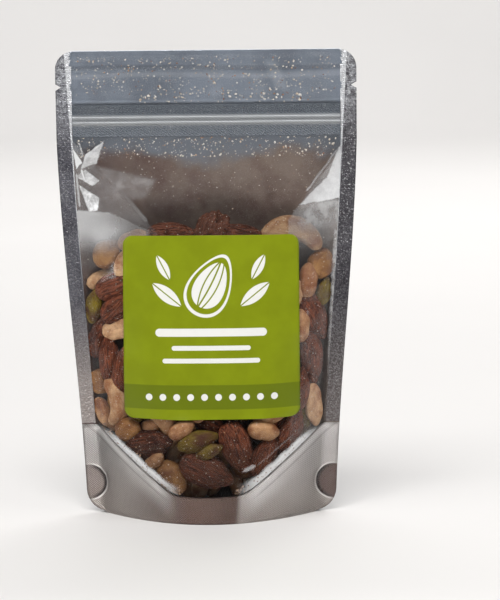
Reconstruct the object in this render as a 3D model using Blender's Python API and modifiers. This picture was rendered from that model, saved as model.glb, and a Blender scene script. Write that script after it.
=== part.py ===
"""A filled stand-up zip pouch with a stuck-on label, standing on its base. Metres, +Z up, front is -Y.

The pouch is one closed solid: the welded film with its contents inside. The label and the zip strip
are solids of their own, a hair clear of it.
"""

import math

import bmesh
import bpy
from mathutils import Matrix, Vector

MM = 0.001

# Driving dimensions, in millimetres
HEIGHT = 203.0
TOP_HALF_WIDTH = 65.0
BASE_HALF_WIDTH = 54.8
FULL_WIDTH_HEIGHT = 165.0
SIDE_SEAL = 6.5
TOP_CORNER = 8.0
BASE_CORNER = 10.0
FLANGE = 0.5

# How far the filled film stands out from the middle plane
FRONT_BULGE = 28.0
BACK_BULGE = 28.0
HEADER_HALF = 0.8
ZIP_HALF = 1.7

# Bottom gusset: the U-shaped weld, the film that sags between its two arms, and the tacked corners
WELD_LOW = 12.0
WELD_FLAT = 15.5
WELD_SLOPE = 0.81
WELD_STEP = 0.45
GUSSET_SAG = 4.5
SKIRT = 1.1
RECESS_END = 43.5
TACK_RADIUS = 7.9
TACK_HEIGHT = 13.5
TACK_INSET = 1.6
TACK_HALF = 0.35

# Zip strip and the channel it lies in
ZIP_LOW = 166.0
ZIP_HIGH = 180.0
ZIP_HALF_LENGTH = 58.0
ZIP_PLATE = 0.6
ZIP_RIB = 0.7
ZIP_GAP = 0.3

# Tear notches
NOTCH_HEIGHT = 187.5
NOTCH_DEPTH = 2.4

# Label
LABEL_WIDTH = 76.0
LABEL_HEIGHT = 78.0
LABEL_LOW = 46.0
LABEL_CORNER = 4.0
LABEL_THICK = 0.4
LABEL_GAP = 0.35
LABEL_SHIFT = 1.6

# Mesh steps
COLUMNS = 30
BODY_ROWS = 26
GUSSET_STEPS = 24


def smoothstep(low, high, value):
    """Rises smoothly from 0 at low to 1 at high."""
    t = min(1.0, max(0.0, (value - low) / (high - low)))
    return t * t * (3.0 - 2.0 * t)


def smooth_min(a, b, width):
    """The smaller of two values, with their meeting line rounded over width."""
    h = max(width - abs(a - b), 0.0) / width
    return min(a, b) - h * h * width * 0.25


def panel_half_width(z):
    """Half width of the pouch at height z, without its rounded corners."""
    s = min(1.0, z / FULL_WIDTH_HEIGHT)
    blend = 0.4 * s + 0.6 * smoothstep(0.0, 1.0, s)
    return BASE_HALF_WIDTH + (TOP_HALF_WIDTH - BASE_HALF_WIDTH) * blend


def outline_half_width(z):
    """Half width of the pouch at height z, corners rounded."""
    width = panel_half_width(z)
    if z < BASE_CORNER:
        drop = BASE_CORNER - z
        width -= BASE_CORNER - math.sqrt(BASE_CORNER ** 2 - drop ** 2)
    top = z - (HEIGHT - TOP_CORNER)
    if top > 0.0:
        width -= TOP_CORNER - math.sqrt(max(TOP_CORNER ** 2 - top ** 2, 0.0))
    return width


def crease_limit(x, z):
    """How far the pulled film can bulge below the zip: one flat facet on each side, met in a soft fold."""
    right = 0.5 + 0.20 * (60.0 - x)
    left = 0.5 + 0.17 * (x + 60.0)
    return smooth_min(right, left, 1.5) + 0.5 * max(0.0, 130.0 - z)


def stand_out(x, z, side):
    """Distance of the pouch's surface from its middle plane. side is -1 at the front, 1 at the back."""
    inner = panel_half_width(z) - SIDE_SEAL
    u = abs(x) / inner
    if u >= 1.0:
        return FLANGE
    full = FRONT_BULGE if side < 0 else BACK_BULGE
    s = min(1.0, z / FULL_WIDTH_HEIGHT)
    power = 2.0 + 1.4 * smoothstep(8.0, 60.0, z)
    filled = (full - FLANGE) * math.cos(0.5 * math.pi * s) * (1.0 - u ** power)
    if side < 0:
        filled = max(smooth_min(filled, crease_limit(x, z), 2.0), 0.0)
    header = ZIP_HALF if z < ZIP_HIGH + 1.0 else HEADER_HALF
    flat = (header - FLANGE) * smoothstep(0.0, 0.02, 1.0 - u)
    return FLANGE + filled + flat * smoothstep(148.0, 164.0, z)


def weld_height(x):
    """Height of the U-shaped weld at x: low and level in the middle, rising to the side seals."""
    reach = abs(x) - WELD_FLAT
    return WELD_LOW + WELD_SLOPE * 0.5 * (reach + math.sqrt(reach * reach + 9.0))


def row_heights():
    """Heights of the rows of the pouch's mesh, closer together where the outline turns."""
    rows = [0.0, 1.0, 2.6, 4.8, 7.4]
    rows += [BASE_CORNER + (163.0 - BASE_CORNER) * i / BODY_ROWS for i in range(BODY_ROWS + 1)]
    rows += [165.0, ZIP_HIGH + 0.8, ZIP_HIGH + 1.2, 188.0, HEIGHT - TOP_CORNER]
    rows += [HEIGHT - TOP_CORNER * (1.0 - math.sin(0.5 * math.pi * i / 5)) for i in range(1, 6)]
    rows[-1] = HEIGHT
    return rows


def spread(half, count):
    """count + 1 evenly spaced values from -half to half."""
    return [half * (2.0 * i / count - 1.0) for i in range(count + 1)]


def object_from(work, name, collection):
    """Turns a bmesh in millimetres into a named object in metres, its faces turned outward."""
    bmesh.ops.recalc_face_normals(work, faces=work.faces)
    bmesh.ops.scale(work, vec=Vector((MM, MM, MM)), verts=work.verts)
    mesh = bpy.data.meshes.new(name)
    work.to_mesh(mesh)
    work.free()
    made = bpy.data.objects.new(name, mesh)
    collection.objects.link(made)
    return made


def loft(name, sections, collection):
    """A closed solid through a row of flat closed sections, all with the same number of points."""
    work = bmesh.new()
    rings = [[work.verts.new(point) for point in section] for section in sections]
    for near, far in zip(rings, rings[1:]):
        for i, corner in enumerate(near):
            j = (i + 1) % len(near)
            work.faces.new((corner, near[j], far[j], far[i]))
    work.faces.new(rings[0])
    work.faces.new(rings[-1])
    return object_from(work, name, collection)


def pouch_section(z):
    """The pouch's outline at height z: a lens between two flat side seals."""
    across = spread(outline_half_width(z), COLUMNS)
    front = [(x, -stand_out(x, z, -1), z) for x in across]
    back = [(x, stand_out(x, z, 1), z) for x in reversed(across)]
    return front + back


def gusset_section(x):
    """The hollow under the pouch at x: between the two skirts, up to the sagging gusset film."""
    weld = weld_height(x)
    sag = GUSSET_SAG * (1.0 - (x / RECESS_END) ** 2)

    def wall(height, side):
        return side * (stand_out(x, max(height, 0.0), side) - SKIRT)

    levels = [-1.0, 0.0, 0.33 * weld, 0.66 * weld]
    points = [(x, wall(height, -1), height) for height in levels]
    for s in spread(1.0, 10):
        y = abs(s) * wall(weld, -1 if s < 0.0 else 1)
        points.append((x, y, weld - sag * (1.0 - s * s)))
    return points + [(x, wall(height, 1), height) for height in reversed(levels)]


def skirt_section(x, side):
    """A slice of the sheet that sets the skirt a little deeper than the filled film above the weld."""
    heights = [weld_height(x) * level for level in (-0.1, 0.0, 0.25, 0.5, 0.75, 1.0)]

    def line(depth):
        return [(x, side * (stand_out(x, max(z, 0.0), side) + depth), z) for z in heights]

    return line(-WELD_STEP) + list(reversed(line(2.0)))


def block(name, low, high, collection):
    """A box between two corners in millimetres."""
    work = bmesh.new()
    bmesh.ops.create_cube(work, size=1.0)
    size = Vector(high) - Vector(low)
    bmesh.ops.scale(work, vec=size, verts=work.verts)
    bmesh.ops.translate(work, vec=Vector(low) + 0.5 * size, verts=work.verts)
    return object_from(work, name, collection)


def bar(name, centre, radius, ends, sides, turn, collection):
    """A bar along Y with the given number of sides, turned about its own axis."""
    work = bmesh.new()
    bmesh.ops.create_cone(
        work, cap_ends=True, segments=sides, radius1=radius, radius2=radius, depth=abs(ends[1] - ends[0])
    )
    bmesh.ops.rotate(work, matrix=Matrix.Rotation(0.5 * math.pi, 3, "X"), verts=work.verts)
    bmesh.ops.rotate(work, matrix=Matrix.Rotation(turn, 3, "Y"), verts=work.verts)
    middle = Vector((centre[0], 0.5 * (ends[0] + ends[1]), centre[1]))
    bmesh.ops.translate(work, vec=middle, verts=work.verts)
    return object_from(work, name, collection)


def zip_strip(collection):
    """The zip strip: one outline, a thin plate with two closed ribs, drawn out along X."""
    face = ZIP_HALF
    back = face - ZIP_PLATE
    outline = [(back, ZIP_LOW), (face, ZIP_LOW)]
    for low, high in ((171.2, 172.6), (173.4, 174.8)):
        outline += [(face, low - 0.4), (face + ZIP_RIB, low), (face + ZIP_RIB, high), (face, high + 0.4)]
    outline += [(face, ZIP_HIGH), (back, ZIP_HIGH)]
    curve = bpy.data.curves.new("zip_strip", "CURVE")
    curve.dimensions = "2D"
    curve.fill_mode = "BOTH"
    curve.extrude = ZIP_HALF_LENGTH * MM
    spline = curve.splines.new("POLY")
    spline.points.add(len(outline) - 1)
    for point, (out, z) in zip(spline.points, outline):
        point.co = (out * MM, z * MM, 0.0, 1.0)
    spline.use_cyclic_u = True
    made = bpy.data.objects.new("zip_strip", curve)
    made.matrix_world = Matrix(((0, 0, 1, 0), (-1, 0, 0, 0), (0, 1, 0, 0), (0, 0, 0, 1)))
    collection.objects.link(made)
    return made


def label_sheet(collection, cutters):
    """The label: a grid laid on the front film, thickened, and trimmed to its rounded square."""
    work = bmesh.new()
    bmesh.ops.create_grid(work, x_segments=20, y_segments=22, size=1.0)
    middle = LABEL_LOW + 0.5 * LABEL_HEIGHT
    for vert in work.verts:
        x = LABEL_SHIFT + vert.co.x * (0.5 * LABEL_WIDTH + 1.5)
        z = middle + vert.co.y * (0.5 * LABEL_HEIGHT + 1.5)
        vert.co = Vector((x, -stand_out(x, z, -1) - LABEL_GAP - LABEL_THICK, z))
    sheet = object_from(work, "label", collection)
    thickness = sheet.modifiers.new("thickness", "SOLIDIFY")
    thickness.thickness = LABEL_THICK * MM
    front = sum(polygon.normal.y for polygon in sheet.data.polygons) < 0.0
    thickness.offset = -1.0 if front else 1.0
    low = (LABEL_SHIFT - 0.5 * LABEL_WIDTH, -40.0, LABEL_LOW)
    high = (LABEL_SHIFT + 0.5 * LABEL_WIDTH, 5.0, LABEL_LOW + LABEL_HEIGHT)
    trim = block("label_trim", low, high, cutters)
    work = bmesh.new()
    work.from_mesh(trim.data)
    along = [edge for edge in work.edges if abs(edge.verts[0].co.y - edge.verts[1].co.y) > 0.01]
    bmesh.ops.bevel(work, geom=along, offset=LABEL_CORNER * MM, segments=6, profile=0.5, affect="EDGES")
    work.to_mesh(trim.data)
    work.free()
    combine(sheet, trim, "INTERSECT")
    return sheet


def combine(target, tool, operation):
    """Cuts a target with a tool, or keeps only what lies inside the tool."""
    modifier = target.modifiers.new(tool.name, "BOOLEAN")
    modifier.operation = operation
    modifier.solver = "EXACT"
    modifier.object = tool


def dress(part, name, colour, roughness, metallic):
    """Gives a part its own material."""
    material = bpy.data.materials.new(name)
    material.use_nodes = True
    shader = material.node_tree.nodes["Principled BSDF"]
    shader.inputs["Base Color"].default_value = (*colour, 1.0)
    shader.inputs["Roughness"].default_value = roughness
    shader.inputs["Metallic"].default_value = metallic
    part.data.materials.append(material)


def shade_round(part):
    """Smooth shading, broken where faces meet sharply."""
    part.data.shade_smooth()
    part.data.set_sharp_from_angle(angle=math.radians(35.0))


def new_collection(name):
    """A collection linked to the scene."""
    made = bpy.data.collections.new(name)
    bpy.context.scene.collection.children.link(made)
    return made


def pouch_solid(parts, cutters):
    """The pouch, lofted through its sections and then cut."""
    pouch = loft("pouch", [pouch_section(z) for z in row_heights()], parts)
    sections = [gusset_section(x) for x in spread(RECESS_END, GUSSET_STEPS)]
    combine(pouch, loft("gusset_cutter", sections, cutters), "DIFFERENCE")
    low = (-ZIP_HALF_LENGTH - ZIP_GAP, -4.0, ZIP_LOW - ZIP_GAP)
    high = (ZIP_HALF_LENGTH + ZIP_GAP, -ZIP_HALF + ZIP_PLATE + ZIP_GAP, ZIP_HIGH + ZIP_GAP)
    combine(pouch, block("zip_channel_cutter", low, high, cutters), "DIFFERENCE")
    reach = 0.5 * (RECESS_END + panel_half_width(WELD_LOW) - SIDE_SEAL)
    for side in (-1, 1):
        sections = [skirt_section(x, side) for x in spread(reach, GUSSET_STEPS)]
        combine(pouch, loft("skirt_cutter", sections, cutters), "DIFFERENCE")
    for sign in (-1, 1):
        tip = (sign * (TOP_HALF_WIDTH - NOTCH_DEPTH + 3.0), NOTCH_HEIGHT)
        turn = -0.5 * math.pi * sign
        combine(pouch, bar("notch_cutter", tip, 3.0, (-4.0, 4.0), 3, turn, cutters), "DIFFERENCE")
        centre = (sign * (panel_half_width(TACK_HEIGHT) - TACK_INSET), TACK_HEIGHT)
        for side in (-1, 1):
            ends = (side * TACK_HALF, side * 20.0)
            tack = bar("tack_cutter", centre, TACK_RADIUS, ends, 40, 0.0, cutters)
            combine(pouch, tack, "DIFFERENCE")
    return pouch


def build():
    """Builds the pouch, its zip strip and its label."""
    for old in list(bpy.data.objects):
        bpy.data.objects.remove(old)
    parts = new_collection("stand_up_pouch")
    cutters = new_collection("cutters")

    pouch = pouch_solid(parts, cutters)
    dress(pouch, "pouch_film", (0.45, 0.42, 0.38), 0.25, 0.55)
    shade_round(pouch)

    strip = zip_strip(parts)
    dress(strip, "zip_plastic", (0.62, 0.66, 0.70), 0.35, 0.0)

    label = label_sheet(parts, cutters)
    dress(label, "label_paper", (0.23, 0.29, 0.01), 0.45, 0.0)
    shade_round(label)

    for cutter in cutters.objects:
        cutter.hide_render = True
        cutter.display_type = "WIRE"


build()
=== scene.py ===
"""Looks for a filled stand-up zip pouch: clear front film, foil back and gusset, zip, label and nuts.

Sizes are in millimetres in the shape code and become metres where a mesh is made.
"""

import logging
import math
from abc import ABC, abstractmethod
from collections.abc import Sequence
from dataclasses import dataclass, field
from enum import Enum

import bmesh
import bpy
import numpy as np
from mathutils import Matrix, Vector, noise


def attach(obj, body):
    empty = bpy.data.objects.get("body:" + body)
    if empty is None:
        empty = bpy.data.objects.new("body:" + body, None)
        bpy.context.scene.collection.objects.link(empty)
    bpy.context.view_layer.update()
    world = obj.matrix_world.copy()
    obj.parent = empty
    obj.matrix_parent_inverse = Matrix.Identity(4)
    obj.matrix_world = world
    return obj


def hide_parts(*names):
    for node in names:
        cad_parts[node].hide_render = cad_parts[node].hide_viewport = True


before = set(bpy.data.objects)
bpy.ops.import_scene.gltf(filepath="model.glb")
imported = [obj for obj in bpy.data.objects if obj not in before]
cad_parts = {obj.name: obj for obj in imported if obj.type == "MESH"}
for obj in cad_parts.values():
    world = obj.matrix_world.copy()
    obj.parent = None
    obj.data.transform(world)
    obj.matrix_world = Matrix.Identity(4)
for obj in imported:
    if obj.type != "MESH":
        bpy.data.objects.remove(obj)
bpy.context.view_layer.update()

log = logging.getLogger("pouch")
MM = 0.001
ROOT = "root"
Array = np.ndarray
Point = tuple[float, float]
Triple = tuple[float, float, float]
Colour = Triple
Socket = bpy.types.NodeSocket
Material = bpy.types.Material
Piece = bpy.types.Object


# Numbers and small meshes


def smoothstep(low: float, high: float, value: Array | float) -> Array:
    """Rises smoothly from 0 to 1.

    Args:
        low: Where it leaves 0.
        high: Where it reaches 1.
        value: The values to map.

    Returns:
        The mapped values.
    """
    t = np.clip((np.asarray(value, float) - low) / (high - low), 0.0, 1.0)
    return t * t * (3.0 - 2.0 * t)


def smooth_min(a: Array | float, b: Array | float, width: float) -> Array:
    """The smaller of two values, with their meeting line rounded.

    Args:
        a: First values.
        b: Second values.
        width: How wide the rounding is.

    Returns:
        The rounded minimum.
    """
    h = np.maximum(width - np.abs(np.asarray(a) - b), 0.0) / width
    return np.minimum(a, b) - h * h * width * 0.25


def lumps(points: Array, size: float, seed: float) -> Array:
    """Smooth noise from -1 to 1.

    Args:
        points: N x 3 positions.
        size: Width of a lump, in the points' unit.
        seed: Shifts the noise.

    Returns:
        One value for each point.
    """
    scaled = points / size + seed
    return np.array([noise.noise(Vector(p)) for p in scaled])


def pair(x: Array | float, z: Array | float) -> tuple[Array, Array]:
    """Both as arrays of one shape."""
    x, z = np.broadcast_arrays(np.asarray(x, float), np.asarray(z, float))
    return x, z


def make_ball(subdivisions: int) -> tuple[Array, Array]:
    """A ball of radius 1: its points, and its triangles' corner indices."""
    work = bmesh.new()
    bmesh.ops.create_icosphere(work, subdivisions=subdivisions, radius=1.0)
    points = np.array([vert.co[:] for vert in work.verts])
    faces = np.array([[vert.index for vert in face.verts] for face in work.faces])
    work.free()
    return points, faces


def make_mesh(
    name: str,
    points: Array,
    faces: Sequence[Sequence[int]] | Array,
    finish: Material,
    slot: str,
    smooth: bool = True,
) -> Piece:
    """Makes a piece from points in millimetres and fixes it to the pouch.

    Args:
        name: The piece's name.
        points: N x 3 points in millimetres.
        faces: Corner indices of each face.
        finish: Its material.
        slot: Not used.
        smooth: Whether it is shaded smooth.

    Returns:
        The new object.
    """
    mesh = bpy.data.meshes.new(name)
    if isinstance(faces, np.ndarray):
        faces = faces.tolist()
    mesh.from_pydata((np.asarray(points) * MM).tolist(), [], faces)
    mesh.materials.append(finish)
    if smooth:
        mesh.shade_smooth()
    mesh.update()
    piece = bpy.data.objects.new(name, mesh)
    bpy.context.scene.collection.objects.link(piece)
    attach(piece, ROOT)
    return piece


def thicken(piece: Piece, thickness: float, offset: float = -1.0, lining: int = 0) -> None:
    """Gives a sheet its thickness in millimetres and keeps the result.

    Args:
        piece: The sheet.
        thickness: Its thickness.
        offset: -1 grows it against its normals, 1 along them.
        lining: How many material slots further on the new side takes its material.
    """
    solid = piece.modifiers.new("thickness", "SOLIDIFY")
    solid.thickness = thickness * MM
    solid.offset = offset
    solid.material_offset = lining
    evaluated = piece.evaluated_get(bpy.context.evaluated_depsgraph_get())
    mesh = bpy.data.meshes.new_from_object(evaluated)
    piece.modifiers.clear()
    piece.data = mesh


def grid_faces(rows: int, columns: int, flip: bool = False) -> Array:
    """Quads of a grid whose points are listed row by row.

    Args:
        rows: Points up the grid.
        columns: Points across it.
        flip: Turns the faces over.

    Returns:
        The faces' corner indices.
    """
    first = (np.arange(rows - 1)[:, None] * columns + np.arange(columns - 1)[None, :]).ravel()
    quads = np.stack([first, first + 1, first + columns + 1, first + columns], 1)
    return quads[:, ::-1] if flip else quads


def make_sheet(
    name: str,
    x: Array,
    y: Array,
    z: Array,
    finish: Material,
    slot: str,
    flip: bool = False,
) -> Piece:
    """Makes a sheet from a grid of points in millimetres.

    Args:
        name: The piece's name.
        x: Positions across, one row of points after the other.
        y: Positions in depth.
        z: Heights.
        finish: Its material.
        slot: Not used; only passed on to make_mesh.
        flip: Turns the sheet over.

    Returns:
        The new object.
    """
    points = np.stack([x, y, z], 2).reshape(-1, 3)
    return make_mesh(name, points, grid_faces(*x.shape, flip), finish, slot)


# The pouch's shape


@dataclass(frozen=True)
class Crease:
    """A sharp fold line in the film: a ridge that falls off on both sides."""

    x0: float
    z0: float
    x1: float
    z1: float
    lift: float
    width: float

    def height(self, x: Array, z: Array) -> Array:
        """How far this fold lifts the film at x, z."""
        dx, dz = self.x1 - self.x0, self.z1 - self.z0
        length = math.hypot(dx, dz)
        along = ((x - self.x0) * dx + (z - self.z0) * dz) / length**2
        across = np.abs((x - self.x0) * dz - (z - self.z0) * dx) / length
        ends = smoothstep(-0.12, 0.18, along) * smoothstep(-0.12, 0.18, 1.0 - along)
        return self.lift * ends * np.exp(-across / self.width)


@dataclass(frozen=True)
class PouchForm:
    """The standing, filled pouch. y is given as a distance from its middle plane."""

    height: float = 203.0
    top_half: float = 65.0
    base_half: float = 54.8
    full_width_at: float = 165.0
    seal: float = 6.5
    top_corner: float = 8.0
    base_corner: float = 10.0
    bulge: float = 27.9
    flange: float = 0.2
    header: float = 0.45
    zip_half: float = 1.62
    zip_low: float = 166.0
    zip_high: float = 180.0
    ribs: tuple[float, float] = (171.9, 174.1)
    notch_height: float = 187.5
    notch_depth: float = 2.4
    notch_half: float = 1.4
    weld_low: float = 12.0
    weld_flat: float = 15.5
    weld_slope: float = 0.81
    skirt_step: float = 0.45
    gusset_sag: float = 4.5
    gusset_half: float = 47.0
    gusset_fold: float = 39.5
    tack_radius: float = 7.9
    tack_height: float = 13.5
    tack_inset: float = 1.6
    folds: tuple[Crease, ...] = ()

    def half_width(self, z: Array) -> Array:
        """Half width at height z, corners not rounded."""
        s = np.minimum(1.0, np.asarray(z) / self.full_width_at)
        blend = 0.4 * s + 0.6 * smoothstep(0.0, 1.0, s)
        return self.base_half + (self.top_half - self.base_half) * blend

    def outline(self, z: Array) -> Array:
        """Half width at height z with rounded corners and the tear notches."""
        z = np.asarray(z, float)
        width = self.half_width(z)
        low = np.clip(self.base_corner - z, 0.0, self.base_corner)
        width = width - self.base_corner + np.sqrt(self.base_corner**2 - low**2)
        high = np.clip(z - (self.height - self.top_corner), 0.0, self.top_corner)
        width = width - self.top_corner + np.sqrt(self.top_corner**2 - high**2)
        notch = np.maximum(0.0, 1.0 - np.abs(z - self.notch_height) / self.notch_half)
        return width - self.notch_depth * notch

    def inside(self, x: Array, z: Array) -> Array:
        """Position across the filled part: 0 in the middle, 1 at a side seal."""
        return np.abs(x) / (self.half_width(z) - self.seal)

    def weld(self, x: Array) -> Array:
        """Height of the U-shaped weld at x."""
        reach = np.abs(x) - self.weld_flat
        rise = self.weld_low + self.weld_slope * 0.5 * (reach + np.sqrt(reach * reach + 9.0))
        return np.minimum(rise, self.gusset_fold)

    def sag(self, x: Array | float) -> Array:
        """How far the middle of the gusset's floor hangs below the weld at x."""
        return self.gusset_sag * np.maximum(0.0, 1.0 - (x / self.gusset_half) ** 2)

    def floor(self, x: Array, y: Array) -> Array:
        """Height of the gusset's floor at x, y."""
        weld = self.weld(x)
        depth = np.maximum(self.filled(x, weld), 2.0)
        return weld - self.sag(x) * (1.0 - np.minimum(np.abs(y) / depth, 1.0) ** 2)

    def tack(self, x: Array, z: Array) -> Array:
        """Distance outside the rim of the round tack weld in the lower corner; negative on it."""
        centre = self.half_width(self.tack_height) - self.tack_inset
        return np.hypot(np.abs(x) - centre, z - self.tack_height) - self.tack_radius

    def filled(self, x: Array, z: Array) -> Array:
        """The smooth bulge of either panel, without folds."""
        u = np.minimum(self.inside(x, z), 1.0)
        s = np.minimum(1.0, z / self.full_width_at)
        power = 2.0 + 1.4 * smoothstep(8.0, 60.0, z)
        return (self.bulge - self.flange) * np.cos(0.5 * math.pi * s) * (1.0 - u**power)

    def crease_limit(self, x: Array, z: Array) -> Array:
        """How far the pulled front film can bulge below the zip, on each side."""
        right = 0.4 + 0.20 * (60.0 - x)
        left = 0.4 + 0.17 * (x + 60.0)
        below = 130.0 - z
        return smooth_min(right, left, 1.0) + 0.25 * (below + np.sqrt(below * below + 100.0))

    def stiff(self, x: Array, z: Array, front: bool) -> Array:
        """Extra thickness in the zip and the header."""
        u = np.minimum(self.inside(x, z), 1.0)
        level = np.where(z < self.zip_high + 0.6, self.zip_half, self.header) - self.flange
        if not front:
            level = np.minimum(level, 0.7)
        return level * smoothstep(0.0, 0.022, 1.0 - u) * smoothstep(148.0, 165.5, z)

    def tacked(self, x: Array, z: Array, y: Array) -> Array:
        """Presses the surface flat where front and back are tacked together."""
        pressed = smoothstep(-0.1, 0.5, self.tack(x, z))
        return self.flange + (y - self.flange) * pressed

    def back(self, x: Array, z: Array) -> Array:
        """Distance of the foil back from the middle plane."""
        x, z = pair(x, z)
        y = self.flange + np.maximum(self.filled(x, z), 0.0) + self.stiff(x, z, False)
        return self.tacked(x, z, y)

    def front(self, x: Array, z: Array) -> Array:
        """Distance of the front film from the middle plane, before its fine folds."""
        x, z = pair(x, z)
        puff = np.maximum(smooth_min(self.filled(x, z), self.crease_limit(x, z), 1.2), 0.0)
        y = self.flange + puff + self.stiff(x, z, True)
        over = (z - self.weld(x)) * 0.8
        inside = smoothstep(0.0, 0.05, 1.0 - self.inside(x, z))
        y = y - self.skirt_step * (1.0 - smoothstep(0.0, 0.7, over)) * inside
        y = y + 0.75 * inside * np.exp(-((over - 1.6) ** 2) / 1.6) * smoothstep(0.0, 0.9, over)
        sides = smoothstep(17.0, 24.0, np.abs(x)) * inside
        y = y + 0.4 * sides * np.exp(-((over + 3.6) ** 2) / 0.5)
        return self.tacked(x, z, np.maximum(y, self.flange))

    def relief(self, x: Array, z: Array) -> Array:
        """Fine folds of the front film: creases, the zip's ribs, and bands in the header."""
        x, z = pair(x, z)
        u = self.inside(x, z)
        room = smoothstep(0.0, 0.06, 1.0 - u)
        lift = np.zeros_like(x)
        for fold in self.folds:
            lift = lift + fold.height(x, z)
        lift = lift * room * smoothstep(0.0, 2.5, self.zip_low - 0.5 - z) * smoothstep(14.0, 22.0, z)
        lift = lift + 0.7 * room * sum(np.exp(-(((z - level) / 0.75) ** 4)) for level in self.ribs)
        band = smoothstep(183.0, 187.0, z) * room
        lift = lift + 0.16 * band * np.sin((z - 0.01 * x) * 1.35) * smoothstep(188.0, 196.0, z)
        for level in (166.2, 180.4):
            lift = lift + 0.22 * (1.0 - room) * np.exp(-(((z - level) / 0.6) ** 2))
        wander = np.sin(x * 0.17 + 1.2) + 0.6 * np.sin(x * 0.31 + 0.4) + 0.4 * np.sin(x * 0.52)
        return lift + 0.10 * band * wander

    def dents(self, x: Array, z: Array) -> Array:
        """Soft dents of the back panel where it lies over the nuts."""
        x, z = pair(x, z)
        flat = np.stack([x.ravel(), z.ravel(), np.zeros(x.size)], 1)
        value = lumps(flat, 13.0, 3.7) * 0.55 + lumps(flat, 6.5, 9.1) * 0.2
        area = smoothstep(14.0, 26.0, z) * (1.0 - smoothstep(112.0, 135.0, z))
        return value.reshape(x.shape) * area * smoothstep(0.0, 0.12, 1.0 - self.inside(x, z))

    def rows(self, step: float) -> Array:
        """Row heights for a panel, with rows kept at the corners, the zip and the notches."""
        corner = self.base_corner * (1.0 - np.cos(np.linspace(0.0, 0.5 * math.pi, 9)))
        top = self.height - self.top_corner * (1.0 - np.sin(np.linspace(0.0, 0.5 * math.pi, 9)))
        kept = [self.notch_height + d * self.notch_half for d in (-1.0, -0.5, 0.0, 0.5, 1.0)]
        between = np.arange(self.base_corner + step, self.height - self.top_corner - 0.3, step)
        between = [z for z in between if min(abs(z - k) for k in kept) > 0.45 * step]
        return np.unique(np.round(np.concatenate([corner, top, kept, between]), 4))

    def panel(self, step: float, columns: int) -> tuple[Array, Array]:
        """The grid of a whole panel.

        Args:
            step: Height from one row to the next.
            columns: How many faces lie across.

        Returns:
            The positions across and the heights, row by row from the base.
        """
        rows = self.rows(step)
        across = np.linspace(-1.0, 1.0, columns + 1)
        return self.outline(rows)[:, None] * across[None, :], np.repeat(rows[:, None], across.size, 1)


FORM = PouchForm(
    folds=(
        Crease(-54.6, 152.0, -44.3, 164.5, 1.1, 1.4),
        Crease(-47.6, 153.5, -24.8, 128.8, 0.7, 1.6),
        Crease(-55.0, 151.0, -46.5, 146.5, 0.6, 1.6),
        Crease(-47.0, 140.0, -22.0, 147.5, 0.35, 2.4),
        Crease(-52.0, 134.0, -44.0, 134.8, 0.6, 1.6),
        Crease(-44.0, 134.6, -26.0, 127.0, 0.45, 2.0),
        Crease(35.1, 130.0, 59.2, 161.8, 0.8, 1.6),
        Crease(40.0, 136.7, 56.0, 138.5, 0.6, 1.5),
        Crease(40.3, 137.2, 51.0, 146.5, 0.5, 1.6),
        Crease(51.0, 146.5, 57.5, 159.5, 0.4, 1.5),
        Crease(2.0, 34.0, 27.0, 19.0, 0.5, 1.2),
        Crease(11.0, 17.0, 17.0, 33.0, 0.35, 1.2),
        Crease(-28.0, 133.0, -12.0, 128.0, 0.3, 2.0),
    )
)


# Materials


class Value:
    """A number in a material's nodes that Python expressions work on."""

    def __init__(self, bench: "Bench", socket: Socket) -> None:
        """Wraps one output socket of the bench's material."""
        self.bench = bench
        self.socket = socket

    def _math(self, operation: str, *others: "Value | float", clamp: bool = False) -> "Value":
        """Adds one Math node with this value as its first input."""
        return self.bench.math(operation, self, *others, clamp=clamp)

    def __add__(self, other: "Value | float") -> "Value":
        """Sum."""
        return self._math("ADD", other)

    def __radd__(self, other: float) -> "Value":
        """Sum with a number on the left."""
        return self._math("ADD", other)

    def __sub__(self, other: "Value | float") -> "Value":
        """Difference."""
        return self._math("SUBTRACT", other)

    def __rsub__(self, other: float) -> "Value":
        """Difference from a number on the left."""
        return self.bench.math("SUBTRACT", other, self)

    def __mul__(self, other: "Value | float") -> "Value":
        """Product."""
        return self._math("MULTIPLY", other)

    def __rmul__(self, other: float) -> "Value":
        """Product with a number on the left."""
        return self._math("MULTIPLY", other)

    def __truediv__(self, other: "Value | float") -> "Value":
        """Quotient."""
        return self._math("DIVIDE", other)

    def __pow__(self, other: "Value | float") -> "Value":
        """Power."""
        return self._math("POWER", other)

    def __neg__(self) -> "Value":
        """Negative."""
        return self.bench.math("SUBTRACT", 0.0, self)

    def sin(self) -> "Value":
        """Sine."""
        return self._math("SINE")

    def size(self) -> "Value":
        """Absolute value."""
        return self._math("ABSOLUTE")

    def above(self, other: "Value | float") -> "Value":
        """The greater of the two."""
        return self._math("MAXIMUM", other)

    def below(self, other: "Value | float") -> "Value":
        """The smaller of the two."""
        return self._math("MINIMUM", other)

    def bounce(self, reach: float) -> "Value":
        """Runs up and down between 0 and reach."""
        return self._math("PINGPONG", reach)

    def clamp(self) -> "Value":
        """Kept between 0 and 1."""
        return self._math("ADD", 0.0, clamp=True)

    def step(self, low: float, high: float) -> "Value":
        """Rises smoothly from 0 at low to 1 at high."""
        settings = {"interpolation_type": "SMOOTHSTEP"}
        inputs = {"Value": self, "From Min": low, "From Max": high}
        return Value(self.bench, self.bench.add("ShaderNodeMapRange", settings, inputs).outputs[0])


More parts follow.
